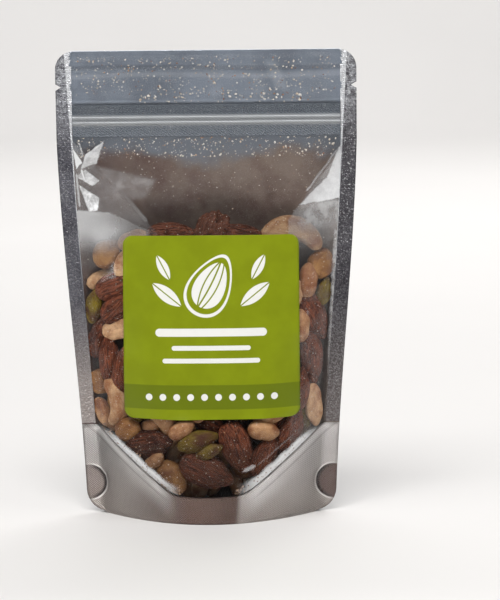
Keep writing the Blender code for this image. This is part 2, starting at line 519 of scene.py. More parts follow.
class Bench:
    """Builds one material's nodes."""

    def __init__(self, name: str) -> None:
        """Starts an empty material."""
        self.material = bpy.data.materials.new(name)
        self.material.use_nodes = True
        self.tree = self.material.node_tree
        self.tree.nodes.clear()

    def add(
        self, kind: str, settings: dict | None = None, inputs: dict | None = None
    ) -> bpy.types.Node:
        """Adds a node.

        Args:
            kind: The node's type.
            settings: Properties to set first; "stops" sets a colour ramp's stops.
            inputs: Values or links for its sockets, by name or number.

        Returns:
            The node.
        """
        node = self.tree.nodes.new(kind)
        for key, value in (settings or {}).items():
            if key == "stops":
                ramp = node.color_ramp
                while len(ramp.elements) < len(value):
                    ramp.elements.new(0.5)
                for element, (place, colour) in zip(ramp.elements, value):
                    element.position = place
                    element.color = (*colour, 1.0)
            else:
                setattr(node, key, value)
        for key, value in (inputs or {}).items():
            self.feed(node.inputs[key], value)
        return node

    def feed(self, socket: Socket, value: object) -> None:
        """Links a value to a socket, or sets the socket to it."""
        if isinstance(value, Value):
            self.tree.links.new(value.socket, socket)
        elif isinstance(value, Socket):
            self.tree.links.new(value, socket)
        elif isinstance(value, tuple) and len(value) == 3 and socket.type == "RGBA":
            socket.default_value = (*value, 1.0)
        else:
            socket.default_value = value

    def math(self, operation: str, *values: Value | float, clamp: bool = False) -> Value:
        """Adds a Math node."""
        inputs = dict(enumerate(values))
        settings = {"operation": operation, "use_clamp": clamp}
        return Value(self, self.add("ShaderNodeMath", settings, inputs).outputs[0])

    def place(self) -> Socket:
        """Object coordinates in millimetres."""
        coordinates = self.add("ShaderNodeTexCoord").outputs["Object"]
        return self.scaled(coordinates, (1000.0, 1000.0, 1000.0))

    def grain(self) -> Socket:
        """A nut's own coordinates in millimetres, long side first."""
        return self.add("ShaderNodeAttribute", {"attribute_name": "grain"}).outputs["Vector"]

    def slope(self, x: Value, z: Value, start: Point, end: Point) -> Value:
        """Distance in millimetres below a line through two points, when it runs to the right.

        Args:
            x: Place across.
            z: Place up.
            start: The line's first point.
            end: Its second point.

        Returns:
            The signed distance.
        """
        dx, dz = end[0] - start[0], end[1] - start[1]
        length = math.hypot(dx, dz)
        return (x - start[0]) * (dz / length) - (z - start[1]) * (dx / length)

    def weld_gap(self, x: Value, z: Value) -> Value:
        """Distance in millimetres above the U-shaped weld."""
        reach = x.size() - FORM.weld_flat
        rise = (reach + (reach * reach + 9.0) ** 0.5) * (0.5 * FORM.weld_slope) + FORM.weld_low
        return (z - rise) * 0.8

    def seal_gap(self, x: Value, z: Value) -> Value:
        """Distance in millimetres outwards from the inner edge of a side seal."""
        flare = (FORM.top_half - FORM.base_half) / FORM.full_width_at
        return x.size() - (z * flare + (FORM.base_half - FORM.seal))

    def island(self) -> Value:
        """A number from 0 to 1 that differs from one loose piece to the next."""
        return Value(self, self.add("ShaderNodeNewGeometry").outputs["Random Per Island"])

    def vector(self, x: Value | float, y: Value | float, z: Value | float) -> Socket:
        """A vector of three parts."""
        return self.add("ShaderNodeCombineXYZ", {}, {0: x, 1: y, 2: z}).outputs[0]

    def scaled(self, vector: Socket, factors: Triple) -> Socket:
        """A vector times three factors."""
        inputs = {0: vector, 1: factors}
        return self.add("ShaderNodeVectorMath", {"operation": "MULTIPLY"}, inputs).outputs[0]

    def split(self, vector: Socket) -> tuple[Value, Value, Value]:
        """A vector's three parts."""
        outputs = self.add("ShaderNodeSeparateXYZ", {}, {0: vector}).outputs
        return Value(self, outputs[0]), Value(self, outputs[1]), Value(self, outputs[2])

    def noise(self, vector: object, scale: float, detail: float = 3.0, rough: float = 0.55) -> Value:
        """Noise from 0 to 1."""
        inputs = {"Vector": vector, "Scale": scale, "Detail": detail, "Roughness": rough}
        return Value(self, self.add("ShaderNodeTexNoise", {}, inputs).outputs[0])

    def cells(self, vector: object, scale: float) -> Value:
        """Distance in a cell pattern."""
        inputs = {"Vector": vector, "Scale": scale}
        return Value(self, self.add("ShaderNodeTexVoronoi", {}, inputs).outputs["Distance"])

    def mix(self, factor: Value | float, first: object, second: object) -> Socket:
        """A colour between two colours."""
        node = self.add("ShaderNodeMix", {"data_type": "RGBA"}, {0: factor, 6: first, 7: second})
        return node.outputs[2]

    def ramp(self, factor: Value, stops: Sequence[tuple[float, Colour]]) -> Socket:
        """A colour from a ramp."""
        return self.add("ShaderNodeValToRGB", {"stops": stops}, {0: factor}).outputs[0]

    def bump(self, height: Value, strength: float, distance: float) -> Socket:
        """A normal bent by a height.

        Args:
            height: The height, about 0 to 1.
            strength: How strongly it shows.
            distance: The height's real size in millimetres.

        Returns:
            The normal.
        """
        inputs = {"Height": height, "Strength": strength, "Distance": distance * MM}
        return self.add("ShaderNodeBump", {}, inputs).outputs[0]

    def surface(self, **inputs: object) -> Socket:
        """A Principled BSDF; underscores in names stand for spaces."""
        named = {key.replace("_", " "): value for key, value in inputs.items()}
        return self.add("ShaderNodeBsdfPrincipled", {}, named).outputs[0]

    def see_through(self, share: Value, gloss: Socket) -> Socket:
        """A clear sheet on which a share, 0 to 1, shows a glossy surface."""
        clear = self.add("ShaderNodeBsdfTransparent").outputs[0]
        return self.add("ShaderNodeMixShader", {}, {0: share, 1: clear, 2: gloss}).outputs[0]

    def done(self, shader: Socket) -> Material:
        """Connects the output and returns the material."""
        self.add("ShaderNodeOutputMaterial", {}, {"Surface": shader})
        return self.material


@dataclass(frozen=True)
class Stroke:
    """A painted highlight: a soft line on the film, where a fold catches the light.

    Attributes:
        start: One end of the line.
        end: Its other end.
        wide: Its half width in millimetres.
        share: How strong the painted highlight is.
    """

    start: Point
    end: Point
    wide: float
    share: float

    def glint(self, bench: Bench, x: Value, z: Value) -> Value:
        """How strong the painted highlight is on the line.

        Args:
            bench: The material's bench.
            x: Place across.
            z: Place up.

        Returns:
            The line's share on it, falling to 0 beside it and past its ends.
        """
        dx, dz = self.end[0] - self.start[0], self.end[1] - self.start[1]
        length = math.hypot(dx, dz)
        middle = (0.5 * (self.start[0] + self.end[0]), 0.5 * (self.start[1] + self.end[1]))
        along = (x - middle[0]) * (dx / length) + (z - middle[1]) * (dz / length)
        beside = bench.slope(x, z, self.start, self.end).size()
        off = beside + (along.size() - 0.42 * length).above(0.0) * 0.6
        return (1.0 - off.step(0.15 * self.wide, self.wide)) * self.share


@dataclass(frozen=True)
class Facet:
    """A flat facet of the folded film, with a painted reflection on it.

    Attributes:
        corners: Its corners, clockwise.
        soft: How soft its edge is, in millimetres.
        plain: How strong its painted reflection is all over.
        mottled: How much more it is where the film is cloudy.
    """

    corners: tuple[Point, ...]
    soft: float
    plain: float = 1.0
    mottled: float = 0.0

    def mask(self, bench: Bench, x: Value, z: Value) -> Value:
        """1 on the facet, 0 off it."""
        reach = bench.slope(x, z, self.corners[-1], self.corners[0])
        for start, end in zip(self.corners[:-1], self.corners[1:]):
            reach = reach.below(bench.slope(x, z, start, end))
        return reach.step(-self.soft, self.soft)

    def glint(self, bench: Bench, x: Value, z: Value, mottle: Value) -> Value:
        """How strong the painted reflection is on the facet, plain and where it is mottled."""
        return self.mask(bench, x, z) * (mottle * self.mottled + self.plain)


@dataclass(frozen=True)
class ClearFilm:
    """Clear glossy film: see-through, with a slanting sheen, painted reflections on its folded corners
    and a painted highlight along the weld.
    """

    haze: float = 0.003
    sheen: float = 0.24
    roughness: float = 0.12
    clear_tone: Colour = (0.93, 0.94, 0.95)
    crumb_tone: Colour = (0.22, 0.10, 0.045)
    # Painted reflections and highlights, as facets and strokes placed on the film in millimetres.
    left_facets: tuple[Facet, ...] = (
        Facet(((-52.5, 158.5), (-44.3, 164.4), (-47.6, 154.5), (-54.6, 152.4)), 0.35, 0.42, 0.25),
        Facet(((-58.6, 161.5), (-54.0, 155.0), (-56.5, 152.0)), 0.3, 0.9),
        Facet(((-57.2, 149.0), (-52.5, 152.0), (-46.3, 147.2), (-49.5, 144.8)), 0.4, 0.32, 0.5),
        Facet(((-55.6, 145.2), (-46.8, 139.8), (-47.2, 134.6), (-51.4, 133.6)), 0.4, 0.45, 0.7),
        Facet(((-47.6, 153.5), (-22.0, 147.5), (-26.0, 140.5), (-48.0, 135.0)), 1.3, 0.09, 0.06),
    )
    left_strokes: tuple[Stroke, ...] = (
        Stroke((-54.2, 152.0), (-53.2, 147.5), 0.8, 0.8),
        Stroke((-47.4, 154.0), (-24.8, 128.6), 1.7, 0.13),
        Stroke((-56.8, 150.5), (-55.4, 135.0), 0.9, 0.45),
        Stroke((-55.2, 164.0), (-53.6, 157.0), 0.6, 0.35),
    )
    right_blade: Facet = Facet(((57.2, 160.8), (61.5, 160.0), (60.0, 144.0), (51.3, 146.0)), 0.5)
    right_plate: Facet = Facet(((51.3, 147.4), (61.0, 149.0), (61.0, 138.8), (40.0, 136.5)), 0.45)
    right_fold: Stroke = Stroke((42.5, 141.0), (58.0, 161.5), 0.8, 0.22)
    weld_strokes: tuple[Stroke, ...] = (
        Stroke((15.5, 23.6), (19.5, 25.4), 1.3, 0.26),
        Stroke((20.0, 25.0), (38.0, 39.0), 0.5, 0.06),
    )

    def left_corner_reflections(self, bench: Bench, x: Value, z: Value, mottle: Value) -> Value:
        """How strong the painted reflections are on the crumpled corner on the left.

        Args:
            bench: The material's bench.
            x: Place across.
            z: Place up.
            mottle: Fine cloudiness, 0 to 1.

        Returns:
            The share, 0 to 1.
        """
        # Painted reflections: a soft one below the folds, a faint one behind the long fold, then the
        # facets and strokes.
        below = bench.slope(x, z, (-44.0, 134.6), (-26.0, 127.0)).below(134.2 - z)
        soft_reflection = below.step(-0.6, 0.8) * (x + 24.5).step(1.0, -1.2)
        soft_reflection = soft_reflection * (z.step(113.0, 127.0) * 0.9 + z.step(98.0, 113.0) * 0.1)
        behind = bench.slope(x, z, (-47.6, 153.5), (-24.8, 128.8)).step(-0.3, 0.5)
        painted_reflection = soft_reflection * ((x + 55.0).step(26.0, 0.0) * 0.32 + 0.14)
        painted_reflection = painted_reflection.above(behind * z.step(118.0, 134.0) * 0.10)
        for facet in self.left_facets:
            painted_reflection = painted_reflection.above(facet.glint(bench, x, z, mottle))
        for stroke in self.left_strokes:
            painted_reflection = painted_reflection.above(stroke.glint(bench, x, z))
        return painted_reflection

    def right_corner_reflections(self, bench: Bench, x: Value, z: Value, mottle: Value) -> Value:
        """How strong the painted reflections are on the pulled corner on the right, with a painted
        highlight along the seal.

        Args:
            bench: The material's bench.
            x: Place across.
            z: Place up.
            mottle: Fine cloudiness, 0 to 1.

        Returns:
            The share, 0 to 1.
        """
        # Painted reflections: soft ones beside the long fold and below it, and the two bright facets.
        across = bench.slope(x, z, (35.1, 130.0), (59.2, 161.8)).below(x - 35.0)
        soft_reflection = across.step(-0.4, 0.6) * (z.step(108.0, 132.0) * 0.85 + 0.15)
        lower = across.step(1.0, 6.0) * (z - mottle * 3.0).step(118.0, 129.0)
        lower = lower * (1.0 - z.step(136.5, 139.5))
        painted_reflection = (soft_reflection * (mottle * 0.06 + 0.13)).above(lower * (mottle * 0.22 + 0.20))
        facets = self.right_blade.mask(bench, x, z).above(self.right_plate.mask(bench, x, z))
        slant = bench.slope(x, z, (40.0, 136.5), (57.0, 160.0)).step(-1.0, 9.0)
        painted_reflection = painted_reflection.above(facets * (mottle * 0.12 + slant * 0.34 + 0.52))
        # Painted highlight along the inner edge of the right seal.
        rim = bench.seal_gap(x, z).step(-1.7, -0.7) * (1.0 - z.step(126.0, 140.0))
        rim = rim * z.step(48.0, 105.0) * x.step(0.0, 1.0)
        painted_reflection = painted_reflection.above(rim * (mottle * 0.30 + 0.16))
        return painted_reflection.above(self.right_fold.glint(bench, x, z))

    def painted_weld_highlight(self, bench: Bench, x: Value, z: Value, stray: Value) -> Value:
        """How strong the painted highlight is along the weld over the gusset.

        Args:
            bench: The material's bench.
            x: Place across.
            z: Place up.
            stray: Wavering of the band's edge in millimetres.

        Returns:
            The share, 0 to 1.
        """
        over = bench.weld_gap(x, z)
        band = over.step(0.1, 0.5) * (1.0 - (over + stray * 0.35).step(2.4, 4.6))
        band = band * (x.size() - FORM.weld_flat).step(-4.0, 8.0) * (1.0 - z.step(34.0, 40.0)) * 0.78
        for stroke in self.weld_strokes:
            band = band.above(stroke.glint(bench, x, z))
        return band

    def painted_fold_reflections(self, bench: Bench, place: Socket) -> Value:
        """How strong the painted reflections are where the film is folded and pulled.

        Args:
            bench: The material's bench.
            place: Places in millimetres.

        Returns:
            The share, 0 to 1.
        """
        x, _, z = bench.split(place)
        stray = (bench.noise(place, 0.11, 3.0, 0.6) - 0.5) * 7.0
        ripple = (bench.noise(place, 0.30, 3.0, 0.65) - 0.5) * 3.4
        mottle = bench.noise(place, 0.22, 4.0, 0.7).step(0.36, 0.66)
        u, v = x + ripple * 0.34 + stray * 0.16, z - ripple * 0.34 + stray * 0.16
        painted_reflection = self.left_corner_reflections(bench, u, v, mottle).above(self.right_corner_reflections(bench, u, v, mottle))
        painted_reflection = painted_reflection * (1.0 - z.step(163.0, 165.5))
        return painted_reflection.above(self.painted_weld_highlight(bench, x, z, stray))

    def make(self) -> Material:
        """Builds the material."""
        bench = Bench("clear_film")
        place = bench.place()
        z = bench.split(place)[2]
        smudge = bench.noise(place, 0.055, 3.0, 0.6).step(0.45, 0.8)
        dust = bench.noise(place, 2.0, 2.0, 0.7).step(0.48, 0.75)
        dust = dust * (z.step(105.0, 150.0) * 0.8 + z.step(40.0, 90.0) * 0.12 + 0.08)
        smudge = smudge * (z.step(120.0, 165.0) * 0.90 + z.step(40.0, 90.0) * 0.06 + 0.04)
        facing = Value(bench, bench.add("ShaderNodeLayerWeight", {}, {"Blend": 0.5}).outputs["Facing"])
        # Painted reflections on the folded corners and along the weld: they raise the glossy share and
        # make it rougher and less metallic there.
        painted_reflection = self.painted_fold_reflections(bench, place)
        share = facing**4.0 * self.sheen + self.haze + smudge * 0.05 + dust * 0.09 + painted_reflection
        dots = bench.cells(place, 0.75).step(0.34, 0.18) * bench.noise(place, 0.3).step(0.42, 0.55)
        low = 1.0 - z.step(41.0, 46.0)
        base = bench.mix(dots * low * 0.8, self.clear_tone, self.crumb_tone)
        rough = painted_reflection.step(0.0, 0.12) * 0.20 + painted_reflection * 0.12 + self.roughness
        gloss = bench.surface(Base_Color=base, Roughness=rough, Metallic=0.8 - painted_reflection * 0.5)
        return bench.done(bench.see_through(share.clamp(), gloss))


@dataclass(frozen=True)
class TackMarks:
    """The round tack welds pressed into the lower corners, with painted light and shade: a painted
    highlight on the rim, a painted shadow inside it, and the disc darkened by a painted brown
    reflection, more on the right.
    """

    radius: float = 7.75
    across: float = 53.85
    up: float = 13.5

    def over(self, bench: Bench, x: Value, z: Value, base: Socket) -> Socket:
        """Draws the marks' painted light and shade over a colour.

        Args:
            bench: The material's bench.
            x: Place across.
            z: Place up.
            base: The colour under the marks.

        Returns:
            The new colour.
        """
        dx = x.size() - self.across
        dz = z - self.up
        gap = (dx * dx + dz * dz) ** 0.5 - self.radius
        inward = (dx / self.radius).step(0.15, -0.55)
        crescent = gap.step(-2.2, -0.5) * (1.0 - gap.step(-0.25, 0.1)) * inward
        rim = (1.0 - (gap - 0.35).size().step(0.15, 0.5)) * (inward * 0.9 + 0.1)
        inside = 1.0 - gap.step(-0.3, 0.0)
        # Painted reflection: the disc darker brown, more on the right.
        base = bench.mix(inside * (x.step(-20.0, 20.0) * 0.45 + 0.46), base, (0.090, 0.046, 0.036))
        # Painted shadow inside the rim, then a painted highlight on the rim.
        base = bench.mix(crescent * 0.85, base, (0.03, 0.025, 0.025))
        return bench.mix(rim * 0.7, base, (0.92, 0.90, 0.88))


@dataclass(frozen=True)
class SideSeal:
    """The welded side bands: film fused to foil, knurled near the top, with painted sparkles, a painted
    highlight along the inner edge, a painted reflection that is lighter low down, and painted shade on
    the right.
    """

    dark: Colour = (0.06, 0.06, 0.075)
    light: Colour = (0.135, 0.135, 0.155)
    # Painted reflection of the floor: lighter and warmer low down.
    low: Colour = (0.40, 0.355, 0.335)
    # Painted shade on the right side.
    right: Colour = (0.05, 0.043, 0.046)

    def make(self) -> Material:
        """Builds the material."""
        bench = Bench("side_seal")
        place = bench.place()
        x, _, z = bench.split(place)
        cloud = bench.noise(place, 0.06, 2.0, 0.5)
        grit = bench.noise(place, 1.3, 2.0, 0.7)
        weave = ((x + z) * 3.4).sin() * ((x - z) * 3.4).sin()
        knurl = z.step(80.0, 165.0) * 0.45 + 0.2
        to_right = x.step(-30.0, 30.0)
        base = bench.mix(cloud.step(0.3, 0.7), self.dark, self.light)
        # Painted reflection lighter and warmer towards the bottom, then painted shade to the right.
        base = bench.mix(z.step(44.0, 100.0), self.low, base)
        base = bench.mix(to_right * (0.70 - z.step(50.0, 110.0) * 0.17), base, self.right)
        mottle = bench.noise(place, 0.45, 3.0, 0.7).step(0.35, 0.65)
        base = bench.mix(z.step(160.0, 186.0) * (mottle * 0.6 + 0.06), base, (0.52, 0.54, 0.57))
        # Painted highlight along the inner edge of the seal.
        inner = bench.seal_gap(x, z) - (z * 0.019).sin() * 0.25
        edge = (1.0 - inner.step(0.1, 0.6)) * z.step(90.0, 130.0)
        base = bench.mix(edge * 0.8, base, (0.80, 0.82, 0.85))
        # Painted glints: pale flecks, and sparkles on the knurl.
        pebble_glint = bench.noise(place, 1.6, 1.0, 0.5).step(0.44, 0.60)
        base = bench.mix(pebble_glint * (0.12 - z.step(60.0, 120.0) * 0.07), base, (0.80, 0.80, 0.82))
        spark = grit.step(0.56, 0.68) * knurl
        base = bench.mix(spark * (to_right * 0.3 + 0.55), base, (0.85, 0.86, 0.88))
        normal = bench.bump(grit + pebble_glint * 0.9 + weave * knurl * 0.8, 0.6, 0.35)
        return bench.done(bench.surface(Base_Color=base, Roughness=0.3, Metallic=0.85, Normal=normal))


Dressed = tuple[Socket, Value | float, Value | float]


@dataclass(frozen=True)
class Foil(ABC):
    """Silver foil laminate, softly clouded; each of its sides adds what shows on it."""

    name: str
    tint: Colour
    roughness: float
    cloudy: float = 0.72

    def weave(self, x: Value, z: Value) -> Value:
        """The slanting weave that is pressed into a weld, -1 to 1."""
        return (x * 5.6 + z * 6.6).sin() * 0.62 + (x * 5.6 - z * 6.6).sin() * 0.38

    @abstractmethod
    def dress(self, bench: Bench, place: Socket, base: Socket) -> Dressed:
        """What this side shows over the plain silver.

        Args:
            bench: The material's bench.
            place: Places in millimetres.
            base: The plain foil's colour.

        Returns:
            The colour, how metallic it is, and its pressed height.
        """

    def make(self) -> Material:
        """Builds the material."""
        bench = Bench(self.name)
        place = bench.place()
        cloud = bench.noise(place, 0.045, 3.0, 0.5)
        fine = bench.noise(place, 0.9, 2.0, 0.6)
        dark = tuple(part * self.cloudy for part in self.tint)
        plain = bench.mix(cloud.step(0.3, 0.7), dark, self.tint)
        base, metal, press = self.dress(bench, place, plain)
        normal = bench.bump(cloud * 0.8 + fine * 0.25 + press, 0.5, 0.4)
        rough = fine * 0.10 + self.roughness
        shader = bench.surface(Base_Color=base, Roughness=rough, Metallic=metal, Normal=normal)
        return bench.done(shader)


@dataclass(frozen=True)
class PanelFoil(Foil):
    """The outer face of the back, with its welds pressed in: the sides, the header and the U."""

    name: str = "foil_panel"
    tint: Colour = (0.66, 0.68, 0.70)
    roughness: float = 0.12
    cloudy: float = 0.9

    def dress(self, bench: Bench, place: Socket, base: Socket) -> Dressed:
        """Presses the welds; see Foil.dress."""
        x, _, z = bench.split(place)
        skirt = (-bench.weld_gap(x, z)).step(0.0, 0.4) * (1.0 - z.step(39.3, 39.6))
        welds = bench.seal_gap(x, z).step(-0.1, 0.3).above(z.step(180.4, 180.8)).above(skirt)
        press = self.weave(x, z) * welds * 0.8 + welds * 0.6
        return bench.mix(welds * 0.35, base, (0.34, 0.35, 0.37)), 0.92, press


@dataclass(frozen=True)
class GussetFoil(Foil):
    """The gusset under the film: woven all over, with painted shade in the weave, a painted dark
    reflection in the middle, and painted highlights where it turns and along the weld.
    """

    name: str = "foil_gusset"
    tint: Colour = (0.50, 0.475, 0.46)
    roughness: float = 0.27
    # Painted dark reflection in the middle.
    middle: Colour = (0.105, 0.062, 0.050)
    # Painted highlight along the weld.
    bright: Colour = (0.93, 0.91, 0.90)

    def dress(self, bench: Bench, place: Socket, base: Socket) -> Dressed:
        """Adds the weave with painted shade in its hollows, painted reflections warm low down and dark
        in the middle, painted light on the turned right side, painted highlights and a painted shadow
        line along the weld, and the tack marks.
        """
        x, _, z = bench.split(place)
        side = x.size()
        weave = self.weave(x, z)
        hollow = weave.step(-0.5, 0.5)
        pressed = tuple(part * 0.40 for part in self.tint)
        # Painted warm reflection low down.
        base = bench.mix((1.0 - z.step(2.0, 34.0)) * 0.40, base, (0.42, 0.33, 0.27))
        # Painted shade in the hollows of the weave.
        base = bench.mix(hollow * 0.50, base, pressed)
        # Painted dark reflection in the middle, and painted light on the turned right side.
        turned = (x - z * 0.10).step(10.4, 13.6)
        shade = (-x).step(8.0, 36.0) + turned + z.step(20.0, 30.0)
        base = bench.mix((1.0 - shade.clamp()) * 0.90, base, self.middle)
        lit = turned * z.step(0.0, 22.0) * (0.85 - x.step(14.0, 52.0) * 0.5)
        base = bench.mix(lit, base, (0.71, 0.67, 0.66))
        # Painted highlights along and under the weld, and a painted shadow line below it.
        over = bench.weld_gap(x, z)
        glow = over.step(-11.0, -3.0) * (1.0 - over.step(-1.2, -0.6)) * side.step(13.0, 22.0)
        glow = glow * (0.62 - side.step(24.0, 46.0) * 0.34) * (0.75 + x.step(-10.0, 10.0) * 0.25)
        base = bench.mix(glow * (1.0 - hollow * 0.45), base, self.bright)
        ledge_highlight = over.step(-3.4, -2.4) * (1.0 - over.step(-0.9, -0.3)) * side.step(15.0, 24.0)
        base = bench.mix(ledge_highlight * 0.42, base, (0.90, 0.88, 0.87))
        line = (1.0 - (over + 3.9).size().step(0.1, 0.6)) * side.step(17.0, 24.0)
        base = bench.mix(line * 0.35, base, (0.16, 0.13, 0.12))
        return TackMarks().over(bench, x, z, base), 0.92, weave * 1.3


@dataclass(frozen=True)
class InnerFoil(Foil):
    """The inner face of the back, as seen through the film: a painted brown reflection of the nuts over
    them, blue-grey above.
    """

    name: str = "foil_inside"
    tint: Colour = (0.38, 0.435, 0.52)
    roughness: float = 0.34
    behind_zip: Colour = (0.19, 0.213, 0.248)
    # Painted reflection of the nuts: brown, lighter in patches, darker on the left.
    brown: Colour = (0.140, 0.090, 0.076)
    light_nut_reflection: Colour = (0.235, 0.185, 0.155)
    left: Colour = (0.095, 0.055, 0.052)

    def dress(self, bench: Bench, place: Socket, base: Socket) -> Dressed:
        """Adds the wisps of the header, painted shade and highlight lines for its folds, and the brown
        window, a painted reflection of the nuts; see Foil.dress.
        """
        x, _, z = bench.split(place)
        base = bench.mix(1.0 - z.step(179.0, 181.5), base, self.behind_zip)
        drawn = bench.vector(x + z * 0.3, 0.0, z * 0.45)
        wisp = bench.noise(drawn, 0.07, 4.0, 0.6).step(0.50, 0.80)
        streak = (1.0 - (x + z * 0.42 - 111.0).size().step(0.8, 4.2)) * z.step(184.0, 188.0)
        wisp = wisp * 0.30 + streak * (1.0 - z.step(196.0, 200.0)) * 0.38
        base = bench.mix(wisp * z.step(179.0, 184.0), base, (0.66, 0.72, 0.80))
        # Painted reflection of the nuts over them: lighter in patches and to the right, darker on the
        # left.
        patchy = bench.noise(place, 0.07, 4.0, 0.65).step(0.26, 0.74) + x.step(-30.0, 45.0) * 0.3
        brown = bench.mix(patchy.clamp(), self.brown, self.light_nut_reflection)
        brown = bench.mix((1.0 - x.step(-48.0, -2.0)) * 0.45, brown, self.left)
        ragged = (bench.noise(place, 0.09) - 0.5) * 14.0
        edge = z + ((x + 3.0) * 0.045).size().step(1.4, 0.0) * 5.0 + ragged
        base = bench.mix(1.0 - edge.step(155.0, 164.0), base, brown)
        # Painted shade and highlight lines where the header folds.
        fold = (z - 195.5 + (x * 0.05).sin() * 0.4).size()
        base = bench.mix((1.0 - fold.step(0.4, 1.6)) * 0.45, base, (0.16, 0.18, 0.21))
        fold = (z - 192.3 + (x * 0.07).sin() * 0.5).size()
        base = bench.mix((1.0 - fold.step(0.2, 1.8)) * 0.24, base, (0.78, 0.82, 0.88))
        return base, z.step(140.0, 166.0) * 0.5 + 0.42, 0.0


@dataclass(frozen=True)
class ZipPlastic:
    """Milky pressed plastic with fine slanting lines."""

    def make(self) -> Material:
        """Builds the material."""
        bench = Bench("zip_plastic")
        place = bench.place()
        x, _, z = bench.split(place)
        hatch = ((x + z * 1.6) * 3.6).sin() * 0.5 + 0.5
        rib = 1.0 - (z - 0.5 * sum(FORM.ribs)).size().step(2.0, 2.6)
        base = bench.mix(hatch * 0.5, (0.20, 0.23, 0.27), (0.33, 0.36, 0.40))
        base = bench.mix(z.step(175.5, 176.5) * 0.55, base, (0.10, 0.12, 0.145))
        base = bench.mix(rib, base, (0.42, 0.44, 0.46))
        normal = bench.bump(hatch * (1.0 - rib), 0.6, 0.15)
        rough = bench.noise(place, 0.5) * 0.15 + 0.25
        gloss = bench.surface(Base_Color=base, Roughness=rough, Metallic=0.25, Normal=normal)
        return bench.done(bench.see_through(hatch * 0.15 + rib * 0.25 + 0.45, gloss))


@dataclass(frozen=True)
class LabelPaper:
    """Printed label paper: green, with plain white and deep green shapes and a satin coat.

    Attributes:
        leaves: Each one's place out and up, turn, half length and half width, on both sides.
        bars: Each one's reach to both sides, level and half height.
    """

    green: Colour = (0.236, 0.294, 0.003)
    shade: Colour = (0.212, 0.260, 0.002)
    deep: Colour = (0.118, 0.158, 0.003)
    white: Colour = (0.86, 0.86, 0.82)
    soft: float = 0.09
    leaves: tuple[tuple[float, ...], ...] = ((19.0, 14.0, 38.0, 8.0, 2.9), (20.5, 25.5, 62.0, 6.0, 2.2))
    bars: tuple[Triple, ...] = ((24.0, -2.0, 1.7), (17.0, -8.6, 1.0), (21.0, -14.0, 1.0))
    band_level: float = -29.5

    def inside(self, distance: Value) -> Value:
        """A mask that is 1 where a distance is below 0."""
        return (-distance).step(-self.soft, self.soft)

    def turned(self, x: Value, z: Value, middle: Point, degrees: float) -> tuple[Value, Value]:
        """Coordinates around a middle, turned by an angle."""
        c, s = math.cos(math.radians(degrees)), math.sin(math.radians(degrees))
        dx, dz = x - middle[0], z - middle[1]
        return dx * c + dz * s, dz * c - dx * s

    def drop(self, x: Value, z: Value, half: float, wide: float) -> Value:
        """Distance outside a nut's outline: an oval that narrows to one end."""
        width = (1.0 - (x / half) * 0.32) * wide
        return (((x / half) ** 2.0 + (z / width) ** 2.0) ** 0.5 - 1.0) * wide

    def leaf(self, x: Value, z: Value, half: float, wide: float) -> Value:
        """Distance outside a leaf with two pointed ends."""
        radius = (half * half + wide * wide) / (2.0 * wide)
        return (x * x + (z.size() + (radius - wide)) ** 2.0) ** 0.5 - radius

    def bar(self, x: Value, z: Value, reach: float, level: float, half: float) -> Value:
        """Distance outside a level bar with round ends that reaches as far to both sides."""
        past = (x.size() - (reach - half)).above(0.0)
        return (past * past + (z - level) ** 2.0) ** 0.5 - half

    def print_masks(self, x: Value, z: Value) -> tuple[Value, Value]:
        """The white and the deep green shapes.

        Args:
            x: Place across the label, from its middle.
            z: Place up the label, from its middle.

        Returns:
            The two masks.
        """
        a, b = self.turned(x, z, (0.0, 18.0), 62.0)
        nut = self.drop(a, b, 13.5, 8.6)
        white = self.inside(nut.size() - 0.45)
        core = self.inside(nut + 2.0)
        lines = self.inside((b - (a * a) * 0.006).size() - 0.35)
        for side in (-1.0, 1.0):
            curve = b - (1.0 - (a / 13.0) ** 2.0) * 2.9 * side
            lines = lines.above(self.inside(curve.size() - 0.3))
        white = white.above(core * (1.0 - lines))
        for side in (-1.0, 1.0):
            for out, up, turn, half, wide in self.leaves:
                a, b = self.turned(x, z, (side * out, up), turn * side + 90.0 - 90.0 * side)
                blade = self.inside(self.leaf(a, b, half, wide))
                white = white.above(blade * (1.0 - self.inside(b.size() - 0.25)))
        for reach, level, half in self.bars:
            white = white.above(self.inside(self.bar(x, z, reach, level, half)))
        up = z - self.band_level
        band = self.inside(up.size() - 5.2)
        along = x.bounce(3.0) - 3.0
        dot = self.inside((along**2.0 + up**2.0) ** 0.5 - 1.45) * self.inside(x.size() - 30.0)
        return white.above(dot), band

    def make(self, middle: Point) -> Material:
        """Builds the material.

        Args:
            middle: The label's middle on the pouch, x and z in millimetres.

        Returns:
            The material.
        """
        bench = Bench("label_print")
        place = bench.place()
        x, _, z = bench.split(place)
        white, deep = self.print_masks(x - middle[0], z - middle[1])
        mottle = bench.noise(place, 0.10, 3.0, 0.5).step(0.3, 0.7)
        tooth = bench.noise(place, 3.5, 2.0, 0.6)
        base = bench.mix(mottle, self.shade, self.green)
        base = bench.mix(deep * 0.75, base, self.deep)
        base = bench.mix(white, base, self.white)
        normal = bench.bump(tooth, 0.25, 0.05)
        rough = tooth * 0.12 + 0.36
        return bench.done(
            bench.surface(
                Base_Color=base,
                Roughness=rough,
                Normal=normal,
                Coat_Weight=0.10,
                Coat_Roughness=0.22,
                Specular_IOR_Level=0.2,
            )
        )


